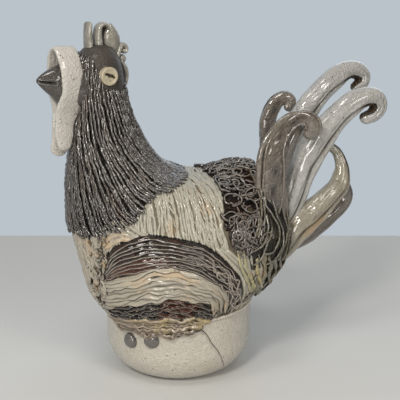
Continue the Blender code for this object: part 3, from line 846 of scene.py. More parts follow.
# How many mm the strands stand off the neck, by the share of the way down
STRAND_PROUD = [(-0.2, 0.2), (0.0, 0.6), (0.3, 2.0), (1.1, 2.6)]


def hem_share(angle):
    """How far down the strands reach at an angle round the neck."""
    return float(read_off(HEM, math.degrees(abs(wrapped(angle)))))


def hackle_place(angle, share, lift):
    """A place over the neck: share 0 is level with the eyes, 1 is the lowest hem."""
    row = EYE_ROW + share * (HACKLE_ROWS - EYE_ROW)
    number = np.arange(HACKLE_ROWS + 1)
    middle, arm = section_axes(*(np.interp(row, number, hackle_rows[:, k]) for k in range(4)))
    way = unit(arm * math.cos(angle) + np.array([0, np.linalg.norm(arm) * math.sin(angle), 0]))
    if share > 1:
        middle = middle + np.array([0.3, 0, -1]) * (share - 1) * 0.10
    place, _ = from_inside([body_tree], middle, way)
    return place + way * (read_off(STRAND_PROUD, share) * MM + lift), way


def hackle_start(angle):
    """Strands start low under each eye and high in front of the face."""
    nearest = min(abs(wrapped(angle - eye)) for eye in (LEFT_EYE, RIGHT_EYE))
    high = -0.14 if math.cos(angle - FACE_BEARING) > 0.2 else -0.05
    return float(np.interp(nearest, [0.36, 0.70], [-0.01, high]))


def mantle_rings(rows, sides):
    """Rings round the neck under the strands, which stop just above the hem."""
    rings = []
    for share in np.linspace(-0.02, 1.0, rows):
        ring = []
        for turn in full_circle(sides):
            low = min(share, hem_share(turn) - 0.015)
            ring.append(hackle_place(turn, low, -0.0008)[0])
        rings.append(np.array(ring))
    return rings


mantle = skin("mantle", mantle_rings(50, 96))
# The mantle shows only between the hackle's strands and is painted near black there: painted shade.
finish_piece(mantle, dark_glaze, 0.10)


# %% The hackle's strands
def lay_hackle(bundle, angle, start, radius, rows):
    """One strand from its start to the hem. It fans rearwards as it falls and curls at its end."""
    hem = hem_share(angle - FAN * math.sin(angle)) + 0.018 * chance.standard_normal()
    share = np.linspace(start, hem, rows)
    bend = 0.8 * MM * wander(rows, 4, 1.6) + 0.3 * MM * wander(rows, 2, 9)
    rise = 0.4 * MM * wander(rows, 3, 2.5) + 0.4 * MM * wander(rows, 2, 14)
    curl = some(1.5, 5) * MM * fade(share, hem - 0.14, hem + 0.04)
    rearward = -math.copysign(1, math.sin(angle))
    places, ways = [], []
    for k in range(rows):
        fan = FAN * math.sin(angle) * max(share[k], 0) ** 1.1
        reach = 22 * MM + 44 * MM * max(share[k], 0)
        turn = angle - fan + (bend[k] + rearward * curl[k]) / reach
        place, way = hackle_place(turn, share[k], radius * 0.35 + rise[k] + 0.25 * curl[k])
        places.append(place)
        ways.append(way)
    thickness = radius * (1 + 0.28 * wander(rows, 3, 12)) * tapered(rows, 1.2, 0.4, 3)
    bundle.add(places, ways, thickness, chance.random())


FULL_STRANDS, MIDDLE_STRANDS, LOW_STRANDS = 66, 52, 92
hackle = Bundle()
for k in range(FULL_STRANDS):
    turn = 2 * math.pi * some(k, 0.4) / FULL_STRANDS
    lay_hackle(hackle, turn, hackle_start(turn), some(1.05, 0.3) * MM, 62)
for k in range(MIDDLE_STRANDS):
    turn = 2 * math.pi * some(k + 0.5, 0.4) / MIDDLE_STRANDS
    lay_hackle(hackle, turn, some(0.14, 0.22), some(1.1, 0.3) * MM, 52)
for k in range(LOW_STRANDS):
    turn = 2 * math.pi * some(k, 0.6) / LOW_STRANDS
    lay_hackle(hackle, turn, some(0.38, 0.34), some(1.05, 0.35) * MM, 34)
hackle.piece("hackle_strands", dark_glaze)

# %% [markdown]
# Pale strands cover the back and the flanks. They hang from the ridge of the back, under the
# hackle's hem, down to the wing, and sweep towards the tail as they fall. Loose wisps cross them
# here and there. Short strands stand on the breast below the hackle.

# %% The pale strands of the back and flanks
# The hackle's hem on the flank, as x and z, and the edge of the lace, as z and x, in points
HEM_HEIGHTS = [(-75, 136), (-57, 142), (-45, 150), (-38, 162), (-26, 169), (-12, 174), (4, 180),
               (10, 200)]
LACE_EDGE = [(116, 62), (120, 41), (125, 30), (142, 22.5), (169, 29)]
FLANK_STEP = 1.5
FLANK_ENDS = (-72, 58)
FLANK_SWEEPS = [(-60, -3), (-38, 2), (-26, 9), (-12, 16), (16, 23), (40, 22), (58, 12)]
SHORTEST_RUN = 8
LOOSE_WISPS = 60


def bare(x, z):
    """Whether a place is clear of the hackle and the lace, x and z in points."""
    return z < read_off(HEM_HEIGHTS, x) + 5 and x < read_off(LACE_EDGE, z) + 1


def longest_run(flags):
    """The first place and the end of the longest stretch of true flags."""
    best, start = (0, 0), 0
    for k, flag in enumerate([*flags, False]):
        if not flag:
            if k - start > best[1] - best[0]:
                best = (start, k)
            start = k + 1
    return best


def lay_flank(bundle, x, side, start, end, radius, sweep, proud=0.15, rows=44):
    """One strand down the flank. x and sweep are in points, start and end in degrees."""
    turns = np.radians(np.linspace(start, end, rows))
    bend = 1.4 * wander(rows, 4, 1.5) + 0.45 * wander(rows, 2, 7)
    rise = 0.3 * MM * wander(rows, 3, 2)
    places, ways = [], []
    for k, turn in enumerate(turns):
        fall = k / (rows - 1)
        place, way = back_point(x + sweep * fall**1.3 + bend[k], turn, side)
        places.append(place + way * (radius * proud + rise[k]))
        ways.append(way)
    first, last = longest_run([bare(place[0] / POINT, place[2] / POINT) for place in places])
    if last - first < SHORTEST_RUN:
        return
    places, ways, rows = places[first:last], ways[first:last], last - first
    thickness = radius * tapered(rows, 1.5, 0.4, 3) * (1 + 0.15 * wander(rows, 3, 6))
    bundle.add(places, soften(ways, 3), thickness, some(0.3, 0.4))


for side, word in SIDES:
    flank = Bundle()
    for x in np.arange(*FLANK_ENDS, FLANK_STEP):
        radius = some(1.15, 0.3) * MM
        end = some(92, 16) + np.interp(x, [10, 35], [0, 30])
        sweep = read_off(FLANK_SWEEPS, x)
        lay_flank(flank, x + chance.random(), side, some(-6, 10), end, radius, sweep)
    for _ in range(LOOSE_WISPS):
        x = some(-50, 100)
        start = some(10, 60)
        sweep = 0.5 * read_off(FLANK_SWEEPS, x) + 7 * (chance.random() - 0.5)
        lay_flank(flank, x, side, start, some(start + 14, 22), 0.8 * MM, sweep, 0.9, 20)
    flank.piece(f"{word}_flank_strands", pale_glaze)

# %% The pale folds between the hackle and the wing
COLLAR_FOLDS = [
    [(-72, 133), (-66, 139), (-59, 142), (-53, 140), (-47, 136), (-42, 133)],
    [(-71, 129), (-65, 135), (-58, 138), (-52, 137), (-46, 133.5)],
    [(-69, 126), (-63, 131), (-57, 134), (-51, 134)],
    [(-74, 138), (-67, 144), (-59, 147), (-51, 144), (-44, 139), (-38, 136)],
]
for side, word in SIDES:
    folds = Bundle()
    for points in COLLAR_FOLDS:
        path, ways = on_flank(points, side, 30, 1.2, 5)
        radius = (1.3 + 0.2 * wander(30, 3, 3)) * MM
        folds.add(path, ways, radius, chance.random(), 12, 1.7, 0.35 * side,
                  strip_ridges(4, 0.14, chance.random()), True, sunk=True)
    folds.piece(f"{word}_collar_folds", strip_glaze)


# %% The pale strands of the breast
def breast_point(bearing, z):
    """A place on the breast: bearing from straight ahead in degrees, height in points."""
    turn = math.radians(bearing)
    way = np.array([-math.cos(turn), -math.sin(turn), 0])
    return from_inside([body_tree], (-10 * POINT, 0, z * POINT), way)


breast = Bundle()
for bearing in np.arange(-64, 65, 1.25):
    rows = 30
    radius = some(1.0, 0.4) * MM
    high, low = some(136, 4), some(56, 8)
    bend, rise = 3.2 * wander(rows, 4, 2.0), 0.6 * MM * wander(rows, 3, 3)
    pairs = [breast_point(bearing + bend[k], z) for k, z in enumerate(np.linspace(high, low, rows))]
    route = [place + way * (0.4 * radius + rise[k]) for k, (place, way) in enumerate(pairs)]
    breast.add(route, [way for _, way in pairs], radius, chance.random())
breast.piece("breast_strands", breast_glaze)

# The body shows only between the strands and is painted darker there: painted shade.
finish_piece(body, pale_glaze, 0.26)
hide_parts("stoneware_hen")
finish_piece(head, head_glaze)
# The tail root under the lace is painted near black: painted shade.
finish_piece(tail_root, dark_glaze, 0.08)

# %% [markdown]
# The wings are bands of strips laid one over another: dark strands along the top arc, broad pale
# strips below them, a dark wavy band, and a pale frill that overhangs the stand. Five lines
# divide the bands. A strip's route runs at a share of the way between two of them, nested with
# its neighbours' waves, and each strip leans so that its lower edge stands proud.

# %% The wing's bands
WING_LINES = [
    [(-70, 108), (-65, 122), (-53, 132), (-39, 137), (-25, 135), (-10, 132), (5, 127), (18, 116),
     (29, 103), (36, 89), (37, 77), (33, 68)],
    [(-70, 96), (-62, 102), (-48, 107), (-32, 112), (-18, 113), (-6, 109), (6, 102), (17, 93),
     (25, 84), (28.5, 73.5), (25, 66)],
    [(-70, 69), (-56, 77), (-41, 80), (-29, 84), (-17, 87), (-7, 84), (5, 81), (12, 74), (17, 67),
     (20, 62.5)],
    [(-65, 60), (-53, 63), (-38, 66), (-20, 67), (0, 66), (15, 63)],
    [(-58, 55), (-50, 50), (-39, 47), (-26, 48), (-12, 50), (2, 57)],
]
WING_STEPS = 200
wing_curves = [even_route(line, WING_STEPS + 1) for line in WING_LINES]


def wing_route(line, share, start, end, rows, wave):
    """A route between one line and the next, as x and z in points. wave lifts it, in points."""
    along = np.linspace(start, end, rows) * WING_STEPS
    step = np.arange(WING_STEPS + 1)
    upper, lower = (
        np.stack([np.interp(along, step, wing_curves[n][:, k]) for k in range(2)], 1)
        for n in (line, line + 1)
    )
    route = upper * (1 - share) + lower * share
    slope = unit(np.gradient(route, axis=0))
    return route + np.stack([-slope[:, 1], slope[:, 0]], 1) * wave[:, None]


def lay_wing(bundle, side, line, share, start, end, radius, wave, lift, **shape):
    """Lays one strip of the wing. radius and lift are in mm, and either may change along it."""
    rows = len(wave)
    route = wing_route(line, share, start, end, rows, wave)
    pairs = [flank_point(x, z, side) for x, z in route]
    places = soften([place for place, _ in pairs], 2)
    ways = unit(soften([way for _, way in pairs], 6) + [0, -0.4 * side, 0])
    lifted = places + ways * (np.broadcast_to(lift, (rows,)) * MM)[:, None]
    shape["lean"] = shape.get("lean", 0) * side
    # The draw for the tint is made even where a tint is given
    tint = shape.pop("tint", chance.random())
    bundle.add(lifted, ways, radius * MM * tapered(rows, 1.0, 0, 4) ** 0.6, tint, **shape)


# The angle round a dark wing strip of its painted highlight: the lower outer edge.
PAINTED_HIGHLIGHT_EDGE = math.radians(45)
WING_ROWS, LOOSE_ROWS = 72, 40


def rusty_front(along, _):
    """The iron turns red on the front half of a strip."""
    return 0.9 - 0.8 * fade(along, 0.25, 0.6)


def rusty_middle(along, _):
    """The iron turns red on the middle of a strip."""
    return 0.15 + 0.55 * fade(along, 0.35, 0.5) * (1 - fade(along, 0.72, 0.85))


def lay_bed(bundle, side, line, shares, radius, wave, lift, width):
    """Broad strips under a band, which hide the body between the strips of the band. They are
    painted dark, as painted shade in the gaps between the strips.
    """
    for share in shares:
        lay_wing(bundle, side, line, share, 0, 1, radius, wave, lift, width=width, sides=8,
                 lit=PAINTED_HIGHLIGHT_BELOW)


for side, word in SIDES:
    dark, pale, frill = Bundle(), Bundle(), Bundle()
    # The dark strips carry a painted highlight along their lower outer edge, mirrored on the right,
    # and are painted darker elsewhere as painted shade.
    lit = PAINTED_HIGHLIGHT_EDGE if side == LEFT else math.pi - PAINTED_HIGHLIGHT_EDGE
    rows = WING_ROWS
    nested = wander(rows, 3, 1.5)
    lay_bed(dark, side, 0, (0.08, 0.28, 0.48, 0.68, 0.88), 1.3, 0.8 * nested, 0.9, 3.2)
    loose = fade(np.linspace(0, 1, rows), 0.5, 0.8)
    for k in range(8):
        own = 0.4 * wander(rows, 3, 3) + loose * 2.0 * wander(rows, 4, 4)
        radius = some(1.3, 0.2) + 0.35 * wander(rows, 3, 7)
        lift = 2.2 + 0.4 * wander(rows, 2, 3) + loose * wander(rows, 3, 5)
        first, last = 0.02 * chance.random(), 1 - 0.04 * chance.random()
        lay_wing(
            dark, side, 0, (k + 0.4) / 8, first, last, radius, 1.2 * nested + own, lift, sides=8,
            width=1.9 - 0.7 * loose, lean=0.5, lit=lit,
            tint=rusty_front if k > 4 else some(0.1, 0.3),
        )
    for _ in range(7):
        start = some(0.5, 0.35)
        lay_wing(
            dark, side, 0, some(0.1, 0.85), start, min(start + 0.3, 1),
            1.0 + 0.2 * wander(LOOSE_ROWS, 3, 7), 3.0 * wander(LOOSE_ROWS, 4, 2), 3.6, sides=6,
        )
    nested = wander(rows, 4, 2.2)
    lay_bed(pale, side, 1, (0.1, 0.32, 0.54, 0.76, 0.95), 1.4, 1.5 * nested, 1.0, 3.2)
    for k in range(8):
        own = 1.2 * wander(rows, 3, 3)
        lift = 2.5 + 0.6 * wander(rows, 3, 2)
        last = 1 - 0.12 * chance.random()
        lay_wing(
            pale, side, 1, (k + 0.5) / 8.2, 0.02 * chance.random(), last,
            0.95 + 0.2 * wander(rows, 3, 4), 1.8 * nested + own, lift,
            width=3.0 + 0.6 * wander(rows, 3, 3), lean=0.5, sides=14,
            ridges=strip_ridges(5, 0.13, 6 * chance.random()), sunk=True,
        )
    nested = wander(rows, 4, 3)
    lay_bed(dark, side, 2, (0.15, 0.5, 0.85), 1.3, 0.8 * nested, 0.8, 2.6)
    for k in range(6):
        own = 2.2 * wander(rows, 4, 3.5)
        lift = 2.2 + 1.1 * wander(rows, 4, 5)
        lay_wing(
            dark, side, 2, (k + 0.5) / 6, 0.02, 0.98, 1.2 + 0.35 * wander(rows, 3, 8),
            0.8 * nested + own, lift, sides=8, width=1.3, lean=0.4, lit=lit, tint=rusty_middle,
        )
    nested = wander(rows, 4, 3.5)
    lay_bed(frill, side, 3, (0.2, 0.7), 1.5, 1.5 * nested, 1.0, 3.4)
    for k in range(4):
        own = 1.1 * wander(rows, 4, 4)
        lift = 3.2 + 1.0 * wander(rows, 4, 4)
        last = 1 - 0.10 * chance.random()
        lay_wing(
            frill, side, 3, (k + 0.3) / 3.8, 0, last, 1.15 + 0.25 * wander(rows, 3, 5),
            2.0 * nested + own, lift, width=2.1, lean=0.5, sides=12,
            ridges=strip_ridges(4, 0.22, 6 * chance.random()), sunk=True,
        )
    dark.piece(f"{word}_wing_dark_strips", wing_glaze)
    pale.piece(f"{word}_wing_pale_strips", strip_glaze)
    frill.piece(f"{word}_wing_frill", frill_glaze)


# %% [markdown]
# Curls. The front ends of the wing's strips are pinched into a ruffle of small curls, and the
# root of the tail is covered with dark lace: cords bent into loops and laid one on another.

# %% The ruffle in front of the wing
def lay_curl(bundle, centre, way, heading, size, turns, radius, rows=26, squeeze=1.0, **shape):
    """A spiral cord flat on the surface at centre, starting towards heading."""
    way = unit(np.array(way, float))
    first = unit(np.cross(way, [0, 0, 1]) + 1e-6)
    second = np.cross(way, first)
    angle = heading + np.linspace(0, 2 * math.pi * turns, rows)
    shrink = np.linspace(1, 0.42, rows) if turns > 1.05 else np.ones(rows)
    shrink = shrink * (1 + 0.16 * wander(rows, 2, 1.2))
    route = np.array(centre) + first * (size * shrink * np.cos(angle))[:, None]
    route = route + second * (size * shrink * squeeze * np.sin(angle))[:, None]
    dome = 0.25 * size * (1 - shrink)
    route = route + way * (dome + 0.25 * radius * wander(rows, 2, 2))[:, None]
    bundle.add(route, way, radius * (1 + 0.15 * wander(rows, 2, 3)), chance.random(), **shape)


ANY_HEADING = 6.3
RUFFLE = [(-74, 131, 5.5), (-75, 121, 5), (-73, 112, 6), (-76, 101, 6.5), (-78, 90, 6),
          (-76, 80, 6.5), (-72, 70, 5.5), (-66, 62, 5)]
for side, word in SIDES:
    ruffle = Bundle()
    for x, z, size in RUFFLE:
        for _ in range(6):
            place, way = flank_point(some(x, 4), z + 7 * (chance.random() - 0.5), side)
            if place is None:
                continue
            way = unit(way + [-0.5, 0, 0] + 0.9 * (chance.random(3) - 0.5))
            lay_curl(
                ruffle, place + way * some(0.8, 2.2) * MM, way, ANY_HEADING * chance.random(),
                size * some(0.35, 0.3) * MM, some(0.5, 0.6), 1.05 * MM, 20, some(0.6, 0.5),
                width=1.6, lean=0.6, sides=8, rounded=True,
                ridges=strip_ridges(3, 0.16, 6 * chance.random()), sunk=True,
            )
    ruffle.piece(f"{word}_ruffle", strip_glaze)

# %% The lace on the tail root
# The loops start by chance in this part of the root: x in points, and the turn in degrees
LACE_X, LACE_TURN = (20, 42), (8, 72)
LACE_RINGS = [
    (31.5, 30, 8.5, 1.05, 0.9),
    (32.5, 30, 5.2, 0.8, 0.8),
    (33.5, 48, 8.0, 0.9, 0.7),
    (44.5, 34, 8.5, 0.9, 0.7),
    (47, 52, 8.0, 0.8, 0.8),
    (40, 62, 7.5, 0.9, 0.7),
    (55, 40, 7.5, 0.9, 0.8),
    (38, 18, 7.5, 0.9, 0.8),
    (52, 20, 8.0, 0.8, 0.8),
]
LACE_START = [(0, 29), (18, 29), (60, 23.5), (77, 31), (84, 42)]
for side, word in SIDES:
    lace = Bundle()
    for turn in np.arange(2, 88, 7.0):
        first = read_off(LACE_START, turn)
        pairs = [back_point(x, math.radians(turn), side) for x in np.linspace(first, 66, 24)]
        bed = [place - way * 0.2 * MM for place, way in pairs]
        ways = soften([way for _, way in pairs], 4)
        # The cords of the bed under the loops are painted dark: painted shade under the lace.
        lace.add(bed, ways, 1.5 * MM, 0.5, 8, 3.4, rounded=True, lit=PAINTED_HIGHLIGHT_BELOW)
    for x, turn, size, turns, squeeze in LACE_RINGS:
        place, way = back_point(x, math.radians(turn), side)
        lay_curl(lace, place + way * 3.2 * MM, way, ANY_HEADING * chance.random(), size * MM,
                 turns, 1.5 * MM, 34, squeeze, width=0.6, sides=8)
    for _ in range(64):
        x, turn, size = some(*LACE_X), some(*LACE_TURN), some(4.5, 5.5)
        if x < read_off(LACE_START, turn) + 0.6 * size:
            continue
        place, way = back_point(x, math.radians(turn), side)
        tilt = unit(way + 0.35 * (chance.random(3) - 0.5))
        lay_curl(lace, place + way * some(1.2, 2.0) * MM, tilt, ANY_HEADING * chance.random(),
                 size * MM, some(0.3, 0.45), some(1.2, 0.5) * MM, 26, some(0.4, 0.6),
                 width=0.6, sides=8)
    for _ in range(46):
        x, turn = 38 + 5 * chance.standard_normal(), 74 + 5 * chance.standard_normal()
        place, way = back_point(x, math.radians(turn), side)
        tilt = unit(way + 1.2 * (chance.random(3) - 0.5))
        lay_curl(lace, place + way * some(1.5, 3.0) * MM, tilt, ANY_HEADING * chance.random(),
                 some(2.4, 2.0) * MM, some(0.5, 0.6), 1.4 * MM, 20, width=0.7, sides=8)
    lace.piece(f"{word}_tail_lace", lace_glaze)

# %% [markdown]
# The tail. Each feather is a thick strip of clay, folded once along its length, laid on the tail
# root while soft and curled over at its end. Pale plumes stand in the middle and dark sickle
# feathers lean on them from both sides. The groove of the fold runs along both faces.

# %% The tail's plumes
TAIL_FEATHERS = {
    "upper_plume": [
        (82, 8, 148, 8), (97, 11, 176, 9.5), (111, 13, 203, 10.6), (124, 14, 223.5, 11),
        (132, 15, 232.3, 10.6), (140.5, 16, 241, 10.2), (150, 18, 247.7, 9.9),
        (161.5, 20, 252.6, 9.6), (170.5, 21, 252.8, 9.2), (176.8, 21, 249, 8.4),
        (176, 19, 243.5, 7.4), (170.6, 17, 240, 6.2),
    ],
    "middle_plume": [
        (90, -8, 118, 10), (101, -9, 141, 11.5), (111.3, -10, 173, 12.8), (119.2, -10, 188.8, 13.3),
        (129.5, -11, 203.7, 12.5), (139.8, -11, 216, 11.4), (149.3, -12, 225.2, 10.5),
        (159.4, -12, 231, 10.2), (169.2, -12, 232.8, 10), (176.4, -12, 230.6, 9.2),
        (178.4, -12, 224.6, 8.4), (174.3, -13, 219.3, 7.4), (166.8, -14, 216.7, 6.4),
    ],
    "lower_plume": [
        (76, -3, 82, 10), (93, -6, 100, 12.6), (109, -9, 119.5, 13), (119, -9, 128.5, 12.8),
        (128.7, -9, 136.4, 11.9), (140.6, -8, 147.3, 10.1), (148.9, -5, 155.6, 9.2),
        (153, -2, 167.2, 7.6), (152, 0, 176, 6.2), (149, 2, 183.4, 5.4), (143, 4, 189, 4.8),
    ],
    "under_plume": [
        (84, 6, 96, 9), (103, 8, 98.6, 9.4), (118.4, 10, 101.7, 8.5), (132.2, 13, 108, 8.1),
        (145.7, 15, 116.8, 7.9), (158.2, 17, 126.6, 7.7), (165.2, 17, 138, 7.3),
        (161.4, 13, 150, 5.9), (152.4, 9, 157.3, 4.2),
    ],
    "left_sickle": [
        (72, -22, 104, 8.6), (70, -26, 120, 9.6), (71.7, -28, 137.5, 10),
        (74.8, -31, 155.8, 10.7), (75, -32, 171, 10.8), (74.5, -33, 186.8, 10),
        (75.8, -33, 197.8, 8.7), (80.3, -32, 207.2, 7.2), (88.4, -31, 216.5, 6.3),
        (98.5, -30, 221.5, 5.9), (107, -30, 219.9, 6.8), (111.3, -29, 211.8, 7.5),
        (109.7, -28, 206, 6.6),
    ],
    "left_sickle_edge": [
        (72, -30, 112, 2.6), (62, -34, 142.4, 2.6), (61.4, -36, 162.2, 2.6), (61.4, -37, 178, 2.6),
        (62, -37, 190, 2.5), (65.5, -36, 201, 2.5), (71, -35, 209.4, 2.4), (78, -34, 217.4, 2.3),
        (87.5, -33, 224, 2.2), (97.5, -31, 225.5, 2.1),
    ],
    "left_sickle_back": [
        (86, -20, 116, 4.4), (88.6, -24, 138, 4.8), (86, -27, 158, 4.8), (84, -27, 174.6, 4.3),
        (84, -27, 187, 3.8), (88, -26, 196, 3.2),
    ],
    "inner_curl": [
        (88, -18, 156, 4), (90, -20, 176.3, 3.8), (92.7, -21, 192, 3.9), (97.5, -22, 204.3, 3.7),
        (102.7, -22, 211.5, 3),
    ],
    "right_sickle": [
        (82, 20, 108, 7), (85, 22, 123, 7.5), (90, 27, 145.3, 7.9), (93, 29, 168.5, 7.8),
        (92, 30, 189, 7.2), (91, 30, 204.8, 7.1), (94, 30, 217.5, 6.7), (100, 30, 226.4, 6.3),
        (107.4, 29, 230, 6.2), (112, 28, 226.8, 5.6), (109.3, 27, 221, 4.4),
    ],
    "right_sickle_edge": [
        (90, 17, 112, 4), (101, 24, 142, 4.4), (103, 28, 168, 4.2), (101, 28, 190, 3.8),
        (102, 28, 206, 3.2),
    ],
}
NEAR_WAY = np.array([0.0, -1.0, 0.0])
FACE = math.pi / 2


def both_faces(angle, width):
    """A bump in the middle of each of a strip's two faces."""
    return dip(angle, FACE, width) + dip(angle, -FACE, width)


def folded(groove, hollow):
    """A folded strip: grooves along both faces near its lower edge, and a hollow in its hook."""
    def reach(along, angle):
        shift = 0.10 * np.sin(5 * along) + 0.04 * np.sin(23 * along)
        broken = 0.55 + 0.45 * np.sin(31 * along + 2 * np.sin(13 * along))
        near, far = dip(angle, FACE - 0.52 + shift, 0.15), dip(angle, -FACE + 0.62 + shift, 0.12)
        grooves = near + far
        faint = dip(angle, FACE - 0.05 - shift, 0.08) + dip(angle, FACE + 0.6 + shift, 0.07)
        hook = dip(angle, 0.15, 0.85) * fade(along, 0.72, 0.84)
        edge = dip(angle, -0.55, 0.35) * (1 - fade(along, 0.6, 0.8))
        knead = 0.03 * np.sin(17 * along + 2 * angle) + 0.02 * np.sin(41 * along - 3 * angle)
        return 1.03 - groove * grooves - 0.14 * broken * faint - hollow * hook - 0.16 * edge + knead
    return reach


def ochre(along, angle):
    """The glaze flashes along the lower edge, near the root."""
    return 0.42 + 0.58 * dip(angle, 0.55, 0.6) * (1 - fade(along, 0.45, 0.8))


def lay_feather(name, glaze, thickness, section, rows=110, sides=44, tint=0.5):
    points = np.array(TAIL_FEATHERS[name], float) * POINT
    route = even_route(points, rows)
    feather = Bundle()
    feather.add(route[:, :3], NEAR_WAY, route[:, 3] * thickness, tint, sides, 1 / thickness,
                ridges=section, rounded=True)
    return feather.piece(name, glaze)


for name in ("upper_plume", "middle_plume"):
    lay_feather(name, plume_glaze, 0.85, folded(0.27, 0.46), 160, 64, ochre)
lay_feather("lower_plume", low_plume_glaze, 0.85, folded(0.26, 0.42), 160, 64, ochre)
lay_feather("under_plume", sickle_glaze, 0.85, folded(0.14, 0.2))

# %% The tail's sickle feathers and their cords
def spoon(along, angle):
    """A dished face between two raised edges, on both sides."""
    faces = both_faces(angle, 0.75)
    knead = 0.03 * np.sin(19 * along + 2 * angle) + 0.03 * np.sin(43 * along - 3 * angle)
    knead = knead + 0.025 * np.sin(71 * along + 5 * angle)
    return 1.04 - 0.17 * faces * fade(along, 0.1, 0.3) * (1 - fade(along, 0.8, 0.95)) + knead


lay_feather("left_sickle", sickle_glaze, 0.7, spoon)
lay_feather("right_sickle", sickle_glaze, 0.7, spoon)
for name in ("left_sickle_edge", "left_sickle_back", "inner_curl", "right_sickle_edge"):
    lay_feather(name, sickle_glaze, 0.9, None, 60, 12)

cords = Bundle()
for name, side in (("left_sickle", 1), ("right_sickle", -1)):
    route = even_route(np.array(TAIL_FEATHERS[name], float) * POINT, 90)
    ahead = unit(np.gradient(route[:, :3], axis=0))
    across = unit(np.cross(ahead, NEAR_WAY))
    for edge in (-0.86, 0.86, -0.3):
        reach = (route[:, 3] * edge)[:, None] * across
        out = np.array([0, -side * 0.45, 0]) * route[:, 3:4]
        last = 88 if abs(edge) > 0.5 else 60
        path = (route[:, :3] + reach + out)[:last]
        path[:, 0] += 0.5 * MM * wander(last, 3, 2)
        radius = (1.2 + 0.2 * wander(last, 3, 6)) * MM
        cords.add(path, (0, -side, 0), radius, chance.random(), rounded=True)
cords.piece("sickle_cords", sickle_glaze)

# %% The cords and strips below the sickles
ROOT_CORDS = [
    [(57, -36, 182), (60, -42, 165), (60, -46, 151), (57, -52, 140), (52, -58, 129)],
    [(66, -38, 168), (65, -43, 152), (69, -46, 141), (74, -46, 131), (72, -50, 119),
     (64, -56, 113), (57, -60, 115)],
    [(63, -46, 142), (62, -52, 130), (54, -60, 121), (43, -64, 118), (33, -66, 121)],
    [(80, -34, 156), (84, -36, 137), (85, -38, 126), (80, -46, 115), (72, -52, 106)],
    [(62, -40, 172), (63, -45, 152), (60, -50, 138), (56, -56, 126)],
    [(72, -40, 152), (75, -44, 138), (79, -45, 126), (76, -50, 114), (69, -55, 107),
     (60, -60, 106)],
    [(90, -26, 140), (92, -30, 124), (90, -36, 110), (82, -46, 99), (72, -52, 92)],
    [(86, -32, 150), (89, -34, 132), (86, -40, 116), (78, -48, 104)],
    [(56, -50, 146), (52, -56, 134), (46, -60, 126), (38, -64, 120)],
    [(67, -50, 132), (62, -56, 124), (54, -60, 112), (48, -64, 108)],
]
OLIVE_STRIPS = [
    [(34, 121), (36, 108), (42, 96), (46, 85)],
    [(39, 119), (41, 107), (46, 95), (50, 85)],
    [(51, 111), (51, 102), (55, 92), (59, 84)],
    [(45, 99), (48, 92), (53, 84)],
]
REAR_STRIPS = [
    [(57, 113), (60, 102), (58, 90), (51, 79)],
    [(63, 110), (66, 98), (63, 86), (55, 76)],
    [(69, 106), (73, 95), (69, 83), (59, 74)],
    [(76, 106), (79, 95), (75, 84), (65, 75)],
    [(84, 104), (85, 93), (80, 83), (70, 76)],
    [(90, 100), (88, 90), (83, 82), (74, 76)],
    [(50, 96), (53, 88), (48, 79), (42, 73)],
]
RIM_STRIPS = [
    [(16, 124), (27, 113), (36, 101), (41, 89), (41.5, 77), (37, 66)],
    [(20, 124), (31, 113), (40, 101), (44.5, 89), (45, 77), (41, 67)],
    [(25, 122), (36, 112), (44, 101), (48, 90), (48.5, 79), (45, 70)],
]

for side, word in SIDES:
    loops = Bundle()
    for x in np.arange(50, 92, 5):
        points = [(x, 150 - 0.4 * (x - 50)), (x + 2, 125), (x - 2, 104)]
        path, ways = on_flank(points, side, 22, 0.2)
        # These flat loops under the cords are painted dark: painted shade.
        loops.add(path, ways, 1.6 * MM, 0.5, 8, 2.4, rounded=True, lit=PAINTED_HIGHLIGHT_BELOW)
    for points in ROOT_CORDS:
        path, ways = strayed(points, side, 44, 3.0, 0.5)
        radius = (1.05 + 0.2 * wander(len(path), 3, 4)) * MM
        loops.add(path, ways, radius, chance.random(), 8, rounded=True)
    loops.piece(f"{word}_root_cords", root_glaze)

    rim = Bundle()
    for points in RIM_STRIPS:
        path, ways = strayed(points, side, 36, 0.9, 0.4)
        radius = (1.4 + 0.3 * wander(len(path), 3, 4)) * MM
        rim.add(path, ways, radius, some(0.3, 0.4), 8, 1.3, rounded=True)
    rim.piece(f"{word}_rim_strips", pale_glaze)

    olive = Bundle()
    for number, points in enumerate(OLIVE_STRIPS):
        path, ways = strayed(points, side, 26, 1.8, 0.35)
        radius = (1.25 + 0.3 * wander(len(path), 3, 3)) * MM
        olive.add(path, ways, radius, some(0.4, 0.6), 12, 1.45, 0.3 * side,
                  strip_ridges(4, 0.15, number), True, sunk=True)
    olive.piece(f"{word}_olive_strips", olive_glaze)

    rear = Bundle()
    for number, points in enumerate(REAR_STRIPS):
        path, ways = strayed(points, side, 30, 1.5, 0.6)
        radius = (1.6 + 0.35 * wander(len(path), 3, 3)) * MM
        tint = chance.random()
        lean = 0.3 * side + 0.5 * wander(len(path), 2, 2)
        rear.add(path, ways, radius, tint, 16, 2.1, lean, strip_ridges(5, 0.16, number), True,
                 sunk=True)
    rear.piece(f"{word}_rear_strips", rear_glaze)


# %% [markdown]
# The head is turned a little to the left, so its parts are placed as forward, left and up of an
# axis through the crown. The beak is a dark pinched cone with the mouth pressed in from both
# sides. A pale strap is bent over it, and its two ends hang down as wattles.

# %% The beak
HEAD_TURN = math.radians(22)
HEAD_AXIS = np.array([-64.0, 0.0, 0.0])
BEAK_SECTIONS = [
    (12, 251, 17, 21), (22, 251.5, 15, 20), (31, 251.5, 10.5, 19), (38, 252, 9.2, 16.5),
    (44, 254.5, 7.4, 11.8), (50, 255.8, 5, 7.6), (54.5, 256.6, 2.8, 3.8), (56.6, 256.9, 1.3, 1.7),
]
BEAK_TIP = (57.3, 257)
MOUTH_START, MOUTH_HEIGHT, MOUTH_RISE = 42, 254.8, 0.12


